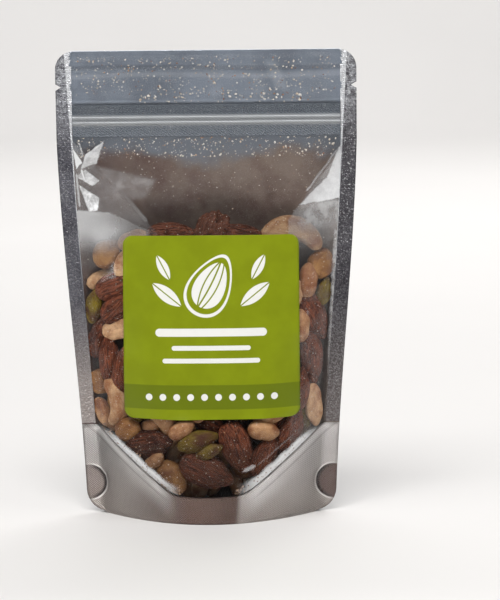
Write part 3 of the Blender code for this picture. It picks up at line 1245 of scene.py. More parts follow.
@dataclass(frozen=True)
class NutSkin:
    """A nut's surface: mottled tones, lengthwise streaks and wrinkles, patches, grains of salt, and
    painted shade near the top of the heap and low in the pouch.
    """

    name: str
    light: Colour
    dark: Colour
    patch: Colour
    patch_share: float = 0.5
    streaks: float = 0.3
    roughness: float = 0.38
    bumpiness: float = 0.6
    spread: float = 0.35
    shadow: Colour = (0.040, 0.018, 0.011)
    salt: Colour = (0.62, 0.55, 0.46)

    def make(self) -> Material:
        """Builds the material."""
        bench = Bench(self.name)
        grain = bench.grain()
        tone = bench.island()
        mottle = bench.noise(grain, 0.22, 4.0, 0.6)
        fine = bench.noise(grain, 1.6, 3.0, 0.65)
        drawn = bench.scaled(grain, (0.18, 1.0, 1.0))
        streak = bench.noise(drawn, 1.1, 3.0, 0.6)
        depth = mottle * 0.5 + streak * self.streaks + fine * 0.25 + (tone - 0.5) * self.spread
        middle = 0.375 + 0.5 * self.streaks
        base = bench.mix(depth.step(middle - 0.24, middle + 0.24), self.dark, self.light)
        edge = 0.72 - 0.34 * self.patch_share
        share = bench.noise(grain, 0.15, 5.0, 0.6).step(edge - 0.17, edge + 0.13)
        base = bench.mix(share * min(1.0, 3.0 * self.patch_share), base, self.patch)
        lengthwise = bench.scaled(grain, (0.10, 1.0, 1.0))
        wrinkle = (bench.noise(lengthwise, 0.85, 2.0, 0.55) - 0.5).size().step(0.0, 0.055)
        base = bench.mix((1.0 - wrinkle) * 0.6 * self.streaks, base, self.dark)
        # Painted shade: darker near the top of the heap and low in the pouch.
        height = bench.split(bench.place())[2]
        shade = height.step(108.0, 128.0) * 0.50 + (1.0 - height.step(26.0, 48.0)) * 0.55
        base = bench.mix(shade, base, self.shadow)
        salt = 1.0 - bench.cells(grain, 0.5).step(0.09, 0.19)
        base = bench.mix(salt * 0.5, base, self.salt)
        relief = (streak * 1.6 + wrinkle * 0.8) * self.streaks + fine * 0.5 + salt * 0.25 + mottle * 0.5
        normal = bench.bump(relief, self.bumpiness, 0.45)
        rough = fine * 0.22 + self.roughness
        shader = bench.surface(
            Base_Color=base, Roughness=rough, Normal=normal, Specular_IOR_Level=0.22
        )
        return bench.done(shader)


@dataclass(frozen=True)
class Speck:
    """Salt, crumbs and dust: each grain has its own tone, browner low in the pouch."""

    name: str = "crumb_tones"
    stops: tuple[tuple[float, Colour], ...] = (
        (0.0, (0.88, 0.86, 0.82)),
        (0.70, (0.72, 0.64, 0.52)),
        (0.88, (0.45, 0.24, 0.11)),
        (1.0, (0.22, 0.09, 0.05)),
    )
    low_stops: tuple[tuple[float, Colour], ...] = (
        (0.0, (0.08, 0.026, 0.010)),
        (0.5, (0.24, 0.095, 0.035)),
        (1.0, (0.50, 0.30, 0.14)),
    )

    def make(self) -> Material:
        """Builds the material."""
        bench = Bench(self.name)
        place = bench.place()
        base = bench.ramp(bench.island(), self.stops)
        low = 1.0 - bench.split(place)[2].step(46.0, 52.0)
        base = bench.mix(low * 0.85, base, bench.ramp(bench.island(), self.low_stops))
        fine = bench.noise(place, 3.0)
        shade = bench.mix(fine.step(0.35, 0.7) * 0.4, base, (0.18, 0.11, 0.07))
        return bench.done(bench.surface(Base_Color=shade, Roughness=fine * 0.3 + 0.45))


# Film, foil, seals


@dataclass
class FrontFilm:
    """The clear front panel, from the base to the top edge."""

    form: PouchForm
    drape: "Drape"
    thickness: float = 0.1
    step: float = 1.15
    columns: int = 112

    def build(self, clear: Material, sealed: Material) -> Piece:
        """Makes the film.

        Args:
            clear: The material of the clear film.
            sealed: The material of the side seals.

        Returns:
            The film.
        """
        x, z = self.form.panel(self.step, self.columns)
        piece = make_sheet("front_film", x, -self.drape.film(x, z), z, clear, "pouch_film")
        piece.data.materials.append(sealed)
        middle = np.abs(0.25 * (x[:-1, :-1] + x[1:, :-1] + x[:-1, 1:] + x[1:, 1:]))
        rows = z[:, 0]
        inner = self.form.half_width(0.5 * (rows[:-1] + rows[1:])) - self.form.seal
        banded = (middle > inner[:, None]) & (rows[:-1, None] > self.form.gusset_fold - 0.6)
        piece.data.polygons.foreach_set("material_index", banded.astype(np.int32).ravel())
        thicken(piece, self.thickness)
        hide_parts("pouch")
        return piece


@dataclass
class FoilBack:
    """The foil back panel."""

    form: PouchForm
    thickness: float = 0.12
    step: float = 1.4
    columns: int = 96
    folds: tuple[Crease, ...] = (
        Crease(-53.0, 158.0, -30.0, 130.0, 0.60, 1.7),
        Crease(-34.0, 150.0, -18.0, 118.0, 0.40, 2.0),
        Crease(51.0, 160.0, 27.0, 136.0, 0.55, 1.7),
        Crease(22.0, 152.0, 33.0, 112.0, 0.40, 2.0),
        Crease(-46.0, 118.0, -24.0, 104.0, 0.45, 1.9),
        Crease(45.0, 110.0, 30.0, 84.0, 0.50, 1.9),
        Crease(-42.0, 66.0, -25.0, 40.0, 0.45, 1.8),
        Crease(39.0, 62.0, 19.0, 38.0, 0.45, 1.8),
        Crease(-9.0, 152.0, 17.0, 147.0, 0.35, 2.2),
    )

    def build(self, finish: Material, inner: Material) -> Piece:
        """Makes the foil back, with soft dents from the nuts and a few pulled folds.

        Args:
            finish: The material of its outer face.
            inner: The material of its inner face.

        Returns:
            The back panel.
        """
        x, z = self.form.panel(self.step, self.columns)
        free = smoothstep(1.0, 9.0, z - self.form.weld(x))
        room = smoothstep(0.0, 0.10, 1.0 - self.form.inside(x, z))
        room = room * (1.0 - smoothstep(158.0, 164.0, z))
        pulled = sum(fold.height(x, z) for fold in self.folds) * room
        y = self.form.back(x, z) + free * (0.65 * self.form.dents(-x, z * 0.97) + pulled)
        piece = make_sheet("foil_back", x, y, z, finish, "pouch_film", flip=True)
        piece.data.materials.append(inner)
        thicken(piece, self.thickness, lining=1)
        return piece


@dataclass
class Gusset:
    """The foil gusset: a skirt inside each panel up to the weld, and the sagging floor between them."""

    form: PouchForm
    gap: float = 0.16
    thickness: float = 0.08
    columns: int = 104

    def under_back(self, x: Array, z: Array, reach: float = 1.3) -> Array:
        """Depth of the back panel, or of its nearest hollow, so that the skirt stays under it."""
        shifts = (-reach, 0.0, reach)
        depths = [self.form.back(x + dx, np.maximum(z + dz, 0.0)) for dx in shifts for dz in shifts]
        return np.min(depths, axis=0)

    def section(self, share: float, spread: Array) -> Array:
        """One slice of the gusset.

        Args:
            share: Position across the pouch, from -1 at the left edge to 1 at the right one.
            spread: Positions over the floor, from -1 at the front weld to 1 at the back one.

        Returns:
            The slice's points, from the front skirt's rim to the back skirt's.
        """
        form = self.form
        weld = 20.0
        for _ in range(12):
            weld = float(form.weld(share * (form.outline(weld) - self.gap)))
        heights = np.linspace(0.02, weld - 0.15, 17)
        x = share * (form.outline(heights) - self.gap)
        front = np.minimum(-(form.front(x, heights) + form.relief(x, heights) - self.gap), -0.02)
        back = np.maximum(self.under_back(x, heights) - self.gap - 0.06, 0.02)
        floor_y = np.where(spread < 0.0, -spread * front[-1], spread * back[-1])
        floor_z = weld - 0.15 - form.sag(x[-1]) * (1.0 - spread**2)
        floor = np.stack([np.full(spread.size, x[-1]), floor_y, floor_z], 1)[1:-1]
        return np.concatenate(
            [np.stack([x, front, heights], 1), floor, np.stack([x, back, heights], 1)[::-1]]
        )

    def build(self, finish: Material) -> Piece:
        """Makes the gusset.

        Args:
            finish: Its material.

        Returns:
            The gusset.
        """
        spread = np.linspace(-1.0, 1.0, 25)
        slices = [self.section(float(c), spread) for c in np.linspace(-1.0, 1.0, self.columns)]
        points = np.concatenate(slices)
        faces = grid_faces(self.columns, len(slices[0]))
        piece = make_mesh("foil_gusset", points, faces, finish, "pouch_film")
        thicken(piece, self.thickness, 0.0)
        return piece


@dataclass
class ZipStrip:
    """The press-to-close strip under the front film: two flanges and a pair of closed ribs."""

    form: PouchForm
    half_length: float = 57.8
    face: float = 1.46
    back: float = 1.15

    def build(self, finish: Material) -> Piece:
        """Draws the strip's outline out along the pouch.

        Args:
            finish: Its material.

        Returns:
            The strip.
        """
        outline = [(self.back, self.form.zip_low + 0.2), (self.face, self.form.zip_low + 0.2)]
        for middle in self.form.ribs:
            turns = np.linspace(math.pi, 0.0, 9)
            outline += [(self.face + 0.55 * math.sin(t), middle + 0.7 * math.cos(t)) for t in turns]
        top = self.form.zip_high - 0.2
        outline += [(self.face, top), (self.back, top)]
        across = np.linspace(-self.half_length, self.half_length, 59)
        points = np.array([(x, -out, z) for x in across for out, z in outline])
        count = len(outline)
        faces = []
        for i in range(len(across) - 1):
            for j in range(count):
                a, b = i * count + j, i * count + (j + 1) % count
                faces.append((a, a + count, b + count, b))
        faces.append(tuple(range(count)))
        faces.append(tuple(reversed(range((len(across) - 1) * count, len(across) * count))))
        piece = make_mesh("zip_track", points, faces, finish, "zip_plastic")
        piece.data.set_sharp_from_angle(angle=math.radians(40.0))
        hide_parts("zip_strip")
        return piece


# Label


@dataclass
class Label:
    """The square green label, stuck on the front film."""

    width: float = 76.0
    height: float = 78.0
    low: float = 46.0
    shift: float = 1.6
    corner: float = 4.0
    gap: float = 0.05
    thickness: float = 0.12

    def middle(self) -> Point:
        """The label's middle, x and z."""
        return self.shift, self.low + 0.5 * self.height

    def build(self, drape: "Drape", finish: Material) -> Piece:
        """Makes the label.

        Args:
            drape: The film that it sticks to.
            finish: Its material.

        Returns:
            The label's sheet.
        """
        half = 0.5 * self.height
        arc = half - self.corner * (1.0 - np.sin(np.linspace(0.0, 0.5 * math.pi, 8)))
        upper = np.concatenate([np.linspace(0.0, half - self.corner, 27)[:-1], arc])
        rows = np.concatenate([-upper[:0:-1], upper])
        over = np.maximum(np.abs(rows) - (half - self.corner), 0.0)
        side = 0.5 * self.width - self.corner + np.sqrt(np.maximum(self.corner**2 - over**2, 0.0))
        across = np.linspace(-1.0, 1.0, 61)
        x = self.shift + side[:, None] * across[None, :]
        z = self.low + half + np.repeat(rows[:, None], across.size, 1)
        y = -(drape.film(x, z) + self.gap + self.thickness)
        piece = make_sheet("label_sheet", x, y, z, finish, "label_paper")
        thicken(piece, self.thickness)
        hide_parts("label")
        return piece


# Nuts


class Kind(Enum):
    """The kinds of nut in the mix."""

    ALMOND = "almonds"
    CASHEW = "cashews"
    PEANUT = "peanuts"
    PEANUT_HALF = "peanut_halves"
    PISTACHIO = "pistachios"
    HAZELNUT = "hazelnuts"
    PECAN = "pecans"


@dataclass
class Nut:
    """One nut: its kind, middle, size, long direction and seed."""

    kind: Kind
    x: float
    z: float
    long: float
    wide: float
    deep: float
    turn: float
    seed: float
    hero: bool = True
    tip: float = 0.0
    roll: float = 0.0
    y: float = 0.0
    axes: Array = field(default_factory=lambda: np.eye(3))

    def spheres(self) -> tuple[Array, Array]:
        """The nut as a few spheres, for packing.

        Returns:
            The spheres' middles around the nut's own middle, and their radii.
        """
        radius = 0.25 * (self.wide + self.deep)
        if self.kind is Kind.CASHEW:
            arc = np.linspace(-1.0, 1.0, 5)
            bend = self.bend_radius()
            turn = arc * 1.15
            local = np.stack([bend * np.sin(turn), bend * (0.55 - np.cos(turn)), 0.0 * arc], 1)
            radii = radius * (1.0 - 0.25 * np.abs(arc))
        else:
            reach = max(0.0, 0.5 * self.long - radius * 0.85)
            arc = np.zeros(1) if reach < 1.0 else np.linspace(-1.0, 1.0, 3)
            local = np.stack([reach * arc, 0.0 * arc, 0.0 * arc], 1)
            radii = radius * (1.0 - 0.22 * np.abs(arc))
        return local @ self.axes, radii

    def bend_radius(self) -> float:
        """Radius of a cashew's bend."""
        return 0.40 * self.long

    def half(self) -> Array:
        """Half its length, width and depth."""
        return 0.5 * np.array([self.long, self.wide, self.deep])


class NutShapes:
    """Meshes of single nuts, on a shared ball of points."""

    def __init__(self, detail: int) -> None:
        """Prepares the ball.

        Args:
            detail: Subdivisions of the ball.
        """
        self.ball, self.faces = make_ball(detail)

    def almond(self, nut: Nut) -> Array:
        """A flat drop with lengthwise wrinkles."""
        d = self.ball
        t = d[:, 0]
        around = np.hypot(d[:, 1], d[:, 2]) + 1e-9
        profile = around**0.92 * (1.0 - 0.20 * t) * (1.0 - 0.30 * smoothstep(0.35, 1.0, t))
        y = 0.5 * nut.wide * profile * d[:, 1] / around
        z = 0.5 * nut.deep * profile * d[:, 2] / around
        x = 0.5 * nut.long * t
        turn = np.arctan2(d[:, 2], d[:, 1])
        wrap = np.stack([np.cos(turn) * 3.1, np.sin(turn) * 3.1, t * 0.8], 1)
        groove = np.abs(lumps(wrap, 0.55, nut.seed))
        press = 1.0 - 0.075 * (1.0 - smoothstep(0.0, 0.22, groove)) * around
        swell = 1.0 + 0.06 * lumps(d, 0.8, nut.seed + 4.0)
        return np.stack([x, y * press * swell, z * press * swell], 1)

    def cashew(self, nut: Nut) -> Array:
        """A bent tube, thicker at one end, with a dent on its inner side."""
        d = self.ball
        t = d[:, 0]
        around = np.hypot(d[:, 1], d[:, 2]) + 1e-9
        bend = nut.bend_radius()
        radius = around**0.75 * (1.0 + 0.16 * t)
        turn = t * 1.42
        outward = d[:, 1] / around
        side = d[:, 2] / around
        dent = 1.0 - 0.16 * np.exp(-(((outward + 1.0) / 0.35) ** 2)) * around
        reach = bend + 0.5 * nut.wide * radius * outward * dent
        x = reach * np.sin(turn)
        y = reach * np.cos(turn) - 0.55 * bend
        z = 0.5 * nut.deep * radius * side
        swell = 1.0 + 0.05 * lumps(d, 0.9, nut.seed)
        return np.stack([x, -y, z], 1) * swell[:, None]

    def peanut(self, nut: Nut) -> Array:
        """A blunt oval with a faint waist."""
        d = self.ball
        waist = 1.0 - 0.10 * np.exp(-((d[:, 0] / 0.3) ** 2))
        swell = (1.0 + 0.07 * lumps(d, 0.8, nut.seed)) * waist
        beak = 1.0 + 0.10 * smoothstep(0.8, 1.0, d[:, 0])
        return d * nut.half() * np.stack([beak, swell, swell], 1)

    def peanut_half(self, nut: Nut) -> Array:
        """Half a peanut: domed behind, flat with a groove in front."""
        shape = self.peanut(nut)
        front = shape[:, 2] > 0.0
        along, across, _ = (shape / nut.half()).T
        groove = 1.1 * np.exp(-((across / 0.20) ** 2)) * (1.0 - along**2)
        hollow = 0.16 * nut.deep * (1.0 - across**2) - groove
        shape[:, 2] = np.where(front, 0.22 * shape[:, 2] + np.minimum(hollow, 0.4), shape[:, 2])
        return shape

    def pistachio(self, nut: Nut) -> Array:
        """A ridged oval with one pointed end."""
        d = self.ball
        t = d[:, 0]
        turn = np.arctan2(d[:, 2], d[:, 1])
        ridge = 0.045 * np.cos(turn * 5.0 + nut.seed) * (1.0 - t * t)
        swell = 1.0 + ridge + 0.09 * lumps(d, 0.5, nut.seed)
        taper = 1.0 - 0.22 * smoothstep(0.2, 1.0, t)
        x = 0.5 * nut.long * t * (1.0 + 0.06 * smoothstep(0.8, 1.0, t))
        y = 0.5 * nut.wide * d[:, 1] * swell * taper
        z = 0.5 * nut.deep * d[:, 2] * swell * taper
        return np.stack([x, y, z], 1)

    def hazelnut(self, nut: Nut) -> Array:
        """A round nut, slightly pointed."""
        d = self.ball
        point = 1.0 + 0.12 * smoothstep(0.7, 1.0, d[:, 0])
        swell = 1.0 + 0.06 * lumps(d, 0.7, nut.seed)
        return d * nut.half() * (swell * point)[:, None]

    def pecan(self, nut: Nut) -> Array:
        """Two long ridged lobes with a deep groove between them."""
        d = self.ball
        groove = 0.50 * np.exp(-((d[:, 1] / 0.16) ** 2)) * smoothstep(-0.2, 0.3, d[:, 2])
        ribs = 0.09 * np.sin(d[:, 0] * 8.0 + np.abs(d[:, 1]) * 5.0 + nut.seed)
        lumpy = 0.22 * lumps(d, 0.38, nut.seed) + 0.10 * lumps(d, 0.16, nut.seed)
        swell = 1.0 - groove + ribs * (1.0 - d[:, 0] ** 2) + lumpy
        return d * nut.half() * swell[:, None]

    def shape(self, nut: Nut) -> Array:
        """The nut's points around its own middle, long side along x."""
        makers = {
            Kind.ALMOND: self.almond,
            Kind.CASHEW: self.cashew,
            Kind.PEANUT: self.peanut,
            Kind.PEANUT_HALF: self.peanut_half,
            Kind.PISTACHIO: self.pistachio,
            Kind.HAZELNUT: self.hazelnut,
            Kind.PECAN: self.pecan,
        }
        return makers[nut.kind](nut)


@dataclass
class NutHeap:
    """The nuts in the pouch: those that show through the film, and others packed behind them."""

    form: PouchForm
    seed: int = 11
    behind: int = 74
    rounds: int = 260
    film_gap: float = 0.5
    crown_shown: float = 136.5
    crown_behind: float = 124.0
    label_middle: Point = (1.6, 85.0)
    label_reach: Point = (34.0, 35.0)

    def shown(self) -> list[Nut]:
        """The nuts that lie against the film, placed as they are seen.

        Each entry is kind, x, z, long, wide, deep, turn in degrees.
        """
        a, c, p, h, g, n, w = Kind
        lines = (
            (w, 2.5, 124.5, 20.0, 14.5, 9.0, 62.0), (c, 34.0, 120.5, 29.0, 12.0, 10.5, 183.0),
            (a, -16.0, 123.0, 24.0, 12.0, 8.0, 4.0), (a, 18.0, 121.0, 21.0, 11.0, 8.0, -8.0),
            (n, -43.5, 115.0, 14.0, 13.0, 12.0, 30.0), (a, -41.5, 103.0, 22.0, 11.5, 8.0, 18.0),
            (g, -48.0, 93.5, 16.5, 8.5, 8.0, 72.0), (a, -38.5, 94.5, 22.0, 12.0, 8.0, 35.0),
            (h, -40.0, 82.5, 17.0, 9.5, 6.0, 8.0), (a, -46.5, 78.5, 20.0, 10.0, 7.5, 60.0),
            (a, -44.0, 69.0, 22.0, 11.0, 8.0, 96.0), (a, -37.5, 64.5, 22.0, 12.0, 8.0, 80.0),
            (c, -40.0, 53.5, 22.0, 9.5, 9.0, 96.0), (p, -46.0, 45.0, 13.0, 8.0, 7.5, -55.0),
            (n, -34.5, 38.5, 12.5, 11.0, 10.5, 10.0), (a, -25.5, 34.0, 23.5, 13.5, 9.0, 12.0),
            (p, -12.0, 40.5, 12.0, 8.0, 7.5, 30.0), (g, -4.8, 36.5, 18.5, 9.5, 9.0, 16.0),
            (g, -0.2, 32.0, 12.5, 6.0, 4.5, 24.0), (a, 11.5, 33.0, 24.0, 13.5, 9.0, -72.0),
            (p, 24.0, 38.5, 14.0, 9.5, 9.0, -12.0), (a, 23.5, 30.5, 20.0, 11.0, 8.0, 62.0),
            (a, 34.5, 37.0, 22.0, 12.0, 8.0, 58.0), (n, -17.0, 19.5, 15.5, 12.5, 10.5, -52.0),
            (a, -1.0, 23.0, 25.0, 15.0, 9.5, -24.0), (p, -23.5, 27.0, 10.0, 7.0, 6.5, 40.0),
            (n, 47.0, 108.5, 13.0, 12.0, 11.5, 60.0), (p, 44.0, 102.5, 15.0, 9.5, 9.0, 80.0),
            (h, 39.5, 98.0, 12.0, 8.0, 6.0, 70.0), (a, 45.5, 88.5, 23.0, 12.5, 8.5, -58.0),
            (p, 41.0, 83.5, 14.0, 8.5, 8.0, 82.0), (a, 44.0, 69.5, 24.0, 12.0, 8.5, -80.0),
            (h, 45.0, 48.0, 19.0, 10.0, 6.5, -76.0), (a, 39.0, 56.0, 20.0, 11.0, 8.0, 70.0),
            (c, -30.0, 112.0, 22.0, 9.5, 9.0, 200.0), (p, -30.0, 118.0, 14.0, 9.0, 8.5, 20.0),
            (g, 49.5, 97.5, 13.0, 7.5, 7.0, 65.0), (n, 24.0, 112.0, 13.0, 12.5, 12.0, 0.0),
        )
        nuts = []
        for i, (kind, x, z, long, wide, deep, turn) in enumerate(lines):
            nuts.append(Nut(kind, x, z, long, wide, deep, math.radians(turn), 1.7 * i + 0.3))
        return nuts

    def hidden(self, random: np.random.Generator) -> list[Nut]:
        """Nuts for the rest of the heap, uneven in size, in the mix's proportions.

        Args:
            random: The heap's own random numbers.

        Returns:
            The nuts, strewn through the pouch before they are packed.
        """
        mix = {
            Kind.ALMOND: (8, (23.0, 12.5, 8.5)),
            Kind.CASHEW: (4, (23.0, 9.5, 9.0)),
            Kind.PEANUT: (4, (15.0, 9.0, 8.5)),
            Kind.PEANUT_HALF: (2, (15.0, 9.0, 5.5)),
            Kind.PISTACHIO: (3, (17.0, 9.5, 9.0)),
            Kind.HAZELNUT: (3, (13.0, 12.5, 12.0)),
            Kind.PECAN: (1, (22.0, 13.0, 8.0)),
        }
        kinds = [kind for kind, (share, _) in mix.items() for _ in range(share)]
        nuts = []
        for i in range(self.behind):
            kind = kinds[int(random.integers(len(kinds)))]
            grow = random.uniform(0.86, 1.1)
            sides = mix[kind][1]
            long, wide, deep = (side * grow * random.uniform(0.93, 1.07) for side in sides)
            z = random.uniform(22.0, 112.0)
            x = random.uniform(-42.0, 42.0)
            turn = random.uniform(0.0, math.pi)
            nut = Nut(kind, x, z, long, wide, deep, turn, 50.0 + 1.3 * i, hero=False)
            nut.tip = random.uniform(-0.6, 0.6)
            nut.roll = random.uniform(0.0, 6.28)
            nut.y = random.uniform(-8.0, 8.0)
            nuts.append(nut)
        return nuts

    def aim(self, nut: Nut) -> None:
        """Sets a nut's directions: long side in the film's plane, flat side to the film."""
        front, x, z = self.form.front, nut.x, nut.z
        slope_x = 0.5 * (float(front(x + 1.0, z)) - float(front(x - 1.0, z)))
        slope_z = 0.5 * (float(front(x, z + 1.0)) - float(front(x, z - 1.0)))
        slope_x = float(np.clip(slope_x, -0.9, 0.9))
        out = Vector((-slope_x, -1.0, -slope_z)).normalized()
        if not nut.hero:
            out = (out + Vector((math.cos(nut.roll), 0.0, math.sin(nut.roll))) * 0.5).normalized()
        long = Vector((math.cos(nut.turn), nut.tip, math.sin(nut.turn)))
        long = (long - out * long.dot(out)).normalized()
        wide = out.cross(long).normalized()
        nut.axes = np.array([long, wide, out])

    def apart(self, ball: Array, touch: Array, weight: Array) -> Array:
        """How far spheres that overlap push each other away.

        Args:
            ball: The spheres' middles.
            touch: How far apart each two of them touch; 0 within one nut.
            weight: How much of a push the first of each two takes.

        Returns:
            A push for each sphere.
        """
        gap = ball[:, None, :] - ball[None, :, :]
        far = np.sqrt((gap**2).sum(2)) + 1e-9
        overlap = np.maximum(touch - far, 0.0)
        return (gap / far[:, :, None] * (overlap * weight)[:, :, None]).sum(1) * 0.45

    def confine(self, ball: Array, radii: Array, shown: Array) -> Array:
        """How far the pouch and the heap's own top push the spheres back.

        Args:
            ball: The spheres' middles.
            radii: Their radii.
            shown: Whether each belongs to a nut that lies against the film.

        Returns:
            A push for each sphere.
        """
        x, y, z = ball[:, 0], ball[:, 1], ball[:, 2]
        push = np.zeros_like(ball)
        # Film and foil; where they are too close for the sphere, it is led to their middle.
        width = self.form.half_width(z) - self.form.seal
        lean = 1.0 + 0.10 * smoothstep(0.3, 0.9, np.abs(x) / width)
        shy = self.film_gap + 7.0 * (1.0 - smoothstep(34.0, 48.0, z))
        front = -self.form.front(x, z) + (radii * lean + np.where(shown, -0.9, shy))
        back = self.form.back(x, z) - radii * lean - self.film_gap
        tight = np.maximum(front - back, 0.0)
        inward = np.maximum(front - y, 0.0) - np.maximum(y - back, 0.0)
        push[:, 0] = -np.sign(x) * np.clip(tight - 1.5, 0.0, 4.0) * 0.25
        push[:, 1] = np.where(tight > 0.0, 0.5 * (front + back) - y, inward) * 0.7
        # The gusset's floor and the top of the heap.
        low = self.form.floor(x, y) + radii * np.where(np.abs(x) > 15.0, 1.22, 1.0)
        low += 0.6 + 2.0 * smoothstep(14.0, 24.0, np.abs(x))
        crown = np.where(shown, self.crown_shown, self.crown_behind)
        push[:, 2] = np.maximum(low - z, 0.0) * 0.6 - np.maximum(z + radii - crown, 0.0) * 0.3
        return push

    def pack(self, nuts: list[Nut]) -> None:
        """Pushes the nuts apart and into the pouch; those that show are held near their places."""
        local, radii = zip(*(nut.spheres() for nut in nuts))
        owner = np.repeat(np.arange(len(nuts)), [len(sizes) for sizes in radii])
        local, radii = np.concatenate(local), np.concatenate(radii)
        hero = np.array([nut.hero for nut in nuts])
        home = np.array([[nut.x, nut.y, nut.z] for nut in nuts])
        place = home.copy()
        place[hero, 1] = -(self.form.front(home[hero, 0], home[hero, 2]) - 6.0)
        same = owner[:, None] == owner[None, :]
        touch = np.where(same, 0.0, radii[:, None] + radii[None, :])
        share = np.where(hero[owner], 0.25, 0.75)
        weight = share[:, None] / (share[:, None] + share[None, :])
        for turn in range(self.rounds):
            ball = place[owner] + local
            push = self.apart(ball, touch, weight) + self.confine(ball, radii, hero[owner])
            move = np.zeros_like(place)
            np.add.at(move, owner, push)
            move /= np.bincount(owner)[:, None]
            # All drift to the film, those behind it also sink, and those that show are drawn home.
            move[:, 1] -= np.where(hero, 0.35, 0.10)
            move[~hero, 2] -= 0.06
            spring = 0.18 if turn < self.rounds * 0.8 else 0.08
            move[hero, 0] += (home[hero, 0] - place[hero, 0]) * spring
            move[hero, 2] += (home[hero, 2] - place[hero, 2]) * spring
            place += np.clip(move * 1.6, -2.0, 2.0)
        for nut, (x, y, z) in zip(nuts, place):
            nut.x, nut.y, nut.z = float(x), float(y), float(z)

    def build(self, finishes: dict[Kind, Material]) -> list[Piece]:
        """Makes one piece for each kind of nut.

        Args:
            finishes: The material of each kind.

        Returns:
            The pieces.
        """
        random = np.random.default_rng(self.seed)
        nuts = self.shown() + self.hidden(random)
        for nut in nuts:
            self.aim(nut)
        self.pack(nuts)
        fine, plain = NutShapes(4), NutShapes(3)
        pieces = []
        for kind in Kind:
            points, faces, grains, start = [], [], [], 0
            for nut in (n for n in nuts if n.kind is kind):
                maker = fine if nut.hero else plain
                shape = maker.shape(nut)
                points.append(self.tuck(shape @ nut.axes + np.array([nut.x, nut.y, nut.z])))
                faces.append(maker.faces + start)
                grains.append(shape + nut.seed * 37.0)
                start += len(shape)
            if not points:
                continue
            joined = np.concatenate(points), np.concatenate(faces)
            piece = make_mesh(kind.value, *joined, finishes[kind], "pouch_film")
            grain = piece.data.attributes.new("grain", "FLOAT_VECTOR", "POINT")
            grain.data.foreach_set("vector", np.concatenate(grains).astype(np.float32).ravel())
            pieces.append(piece)
        return pieces

    def tuck(self, points: Array) -> Array:
        """Keeps a nut's points inside the film, flat under the label, and above the gusset."""
        x, y, z = points[:, 0], points[:, 1], points[:, 2]
        z = np.maximum(z, self.form.floor(x, y) + 0.5)
        beside = np.abs(x - self.label_middle[0]) - self.label_reach[0]
        beyond = np.abs(z - self.label_middle[1]) - self.label_reach[1]
        free = np.maximum(beside, beyond)
        allowed = 2.4 * smoothstep(0.03, 0.12, 1.0 - self.form.inside(x, z))
        allowed *= smoothstep(0.0, 5.0, free) * (1.0 - smoothstep(98.0, 112.0, z))
        front = -self.form.front(x, z) - allowed + 0.5
        back = self.form.back(x, z) - 0.9
        y = np.clip(y, np.minimum(front, 0.0), np.maximum(back, 0.0))
        return np.stack([x, y, z], 1)


@dataclass
class Drape:
    """The front film as it lies over the nuts: the pouch's own shape, pushed out where they press."""

    form: PouchForm
    clearance: float = 0.55
    most: float = 3.2
    push: Array = field(init=False)

    def __post_init__(self) -> None:
        """Starts with no push, on a grid of one millimetre over the whole front."""
        self.push = np.zeros((round(self.form.height) + 1, round(2.0 * self.form.top_half) + 1))

    def settle(self, points: Array) -> None:
        """Works out the push from all points of the nuts."""
        rows, columns = self.push.shape
        x, z = np.meshgrid(np.arange(columns) - self.form.top_half, np.arange(rows, dtype=float))
        tops = np.full(self.push.shape, -99.0)
        spot_z = np.clip(np.rint(points[:, 2]).astype(int), 1, rows - 2)
        spot_x = np.rint(points[:, 0] + self.form.top_half).astype(int)
        spot_x = np.clip(spot_x, 1, columns - 2)
        for dz in (-1, 0, 1):
            for dx in (-1, 0, 1):
                np.maximum.at(tops, (spot_z + dz, spot_x + dx), -points[:, 1])
        room = smoothstep(0.0, 0.05, 1.0 - self.form.inside(x, z))
        room = room * smoothstep(0.0, 3.0, z - self.form.weld(x)) * (1.0 - smoothstep(140.0, 160.0, z))
        need = np.clip(tops + self.clearance - self.form.front(x, z), 0.0, self.most) * room
        # The film spans smoothly from one nut to the next, and is then smoothed a little.
        push = need.copy()
        for _ in range(90):
            wide = push.copy()
            wide[1:-1, 1:-1] = 0.25 * self.around(push)
            push = np.maximum(need, wide * 0.985)
        for _ in range(4):
            push[1:-1, 1:-1] = 0.2 * (push[1:-1, 1:-1] + self.around(push))
        self.push = push * room

    def around(self, push: Array) -> Array:
        """Sum of the four neighbours of each inner point of the grid."""
        return push[:-2, 1:-1] + push[2:, 1:-1] + push[1:-1, :-2] + push[1:-1, 2:]

    def film(self, x: Array, z: Array) -> Array:
        """Distance of the film's outer face from the middle plane."""
        x, z = pair(x, z)
        rows, columns = self.push.shape
        fx = np.clip(x + self.form.top_half, 0.0, columns - 1.001)
        fz = np.clip(z, 0.0, rows - 1.001)
        ix, iz = fx.astype(int), fz.astype(int)
        tx, tz = fx - ix, fz - iz
        low = self.push[iz, ix] * (1.0 - tx) + self.push[iz, ix + 1] * tx
        high = self.push[iz + 1, ix] * (1.0 - tx) + self.push[iz + 1, ix + 1] * tx
        return self.form.front(x, z) + self.form.relief(x, z) + low * (1.0 - tz) + high * tz


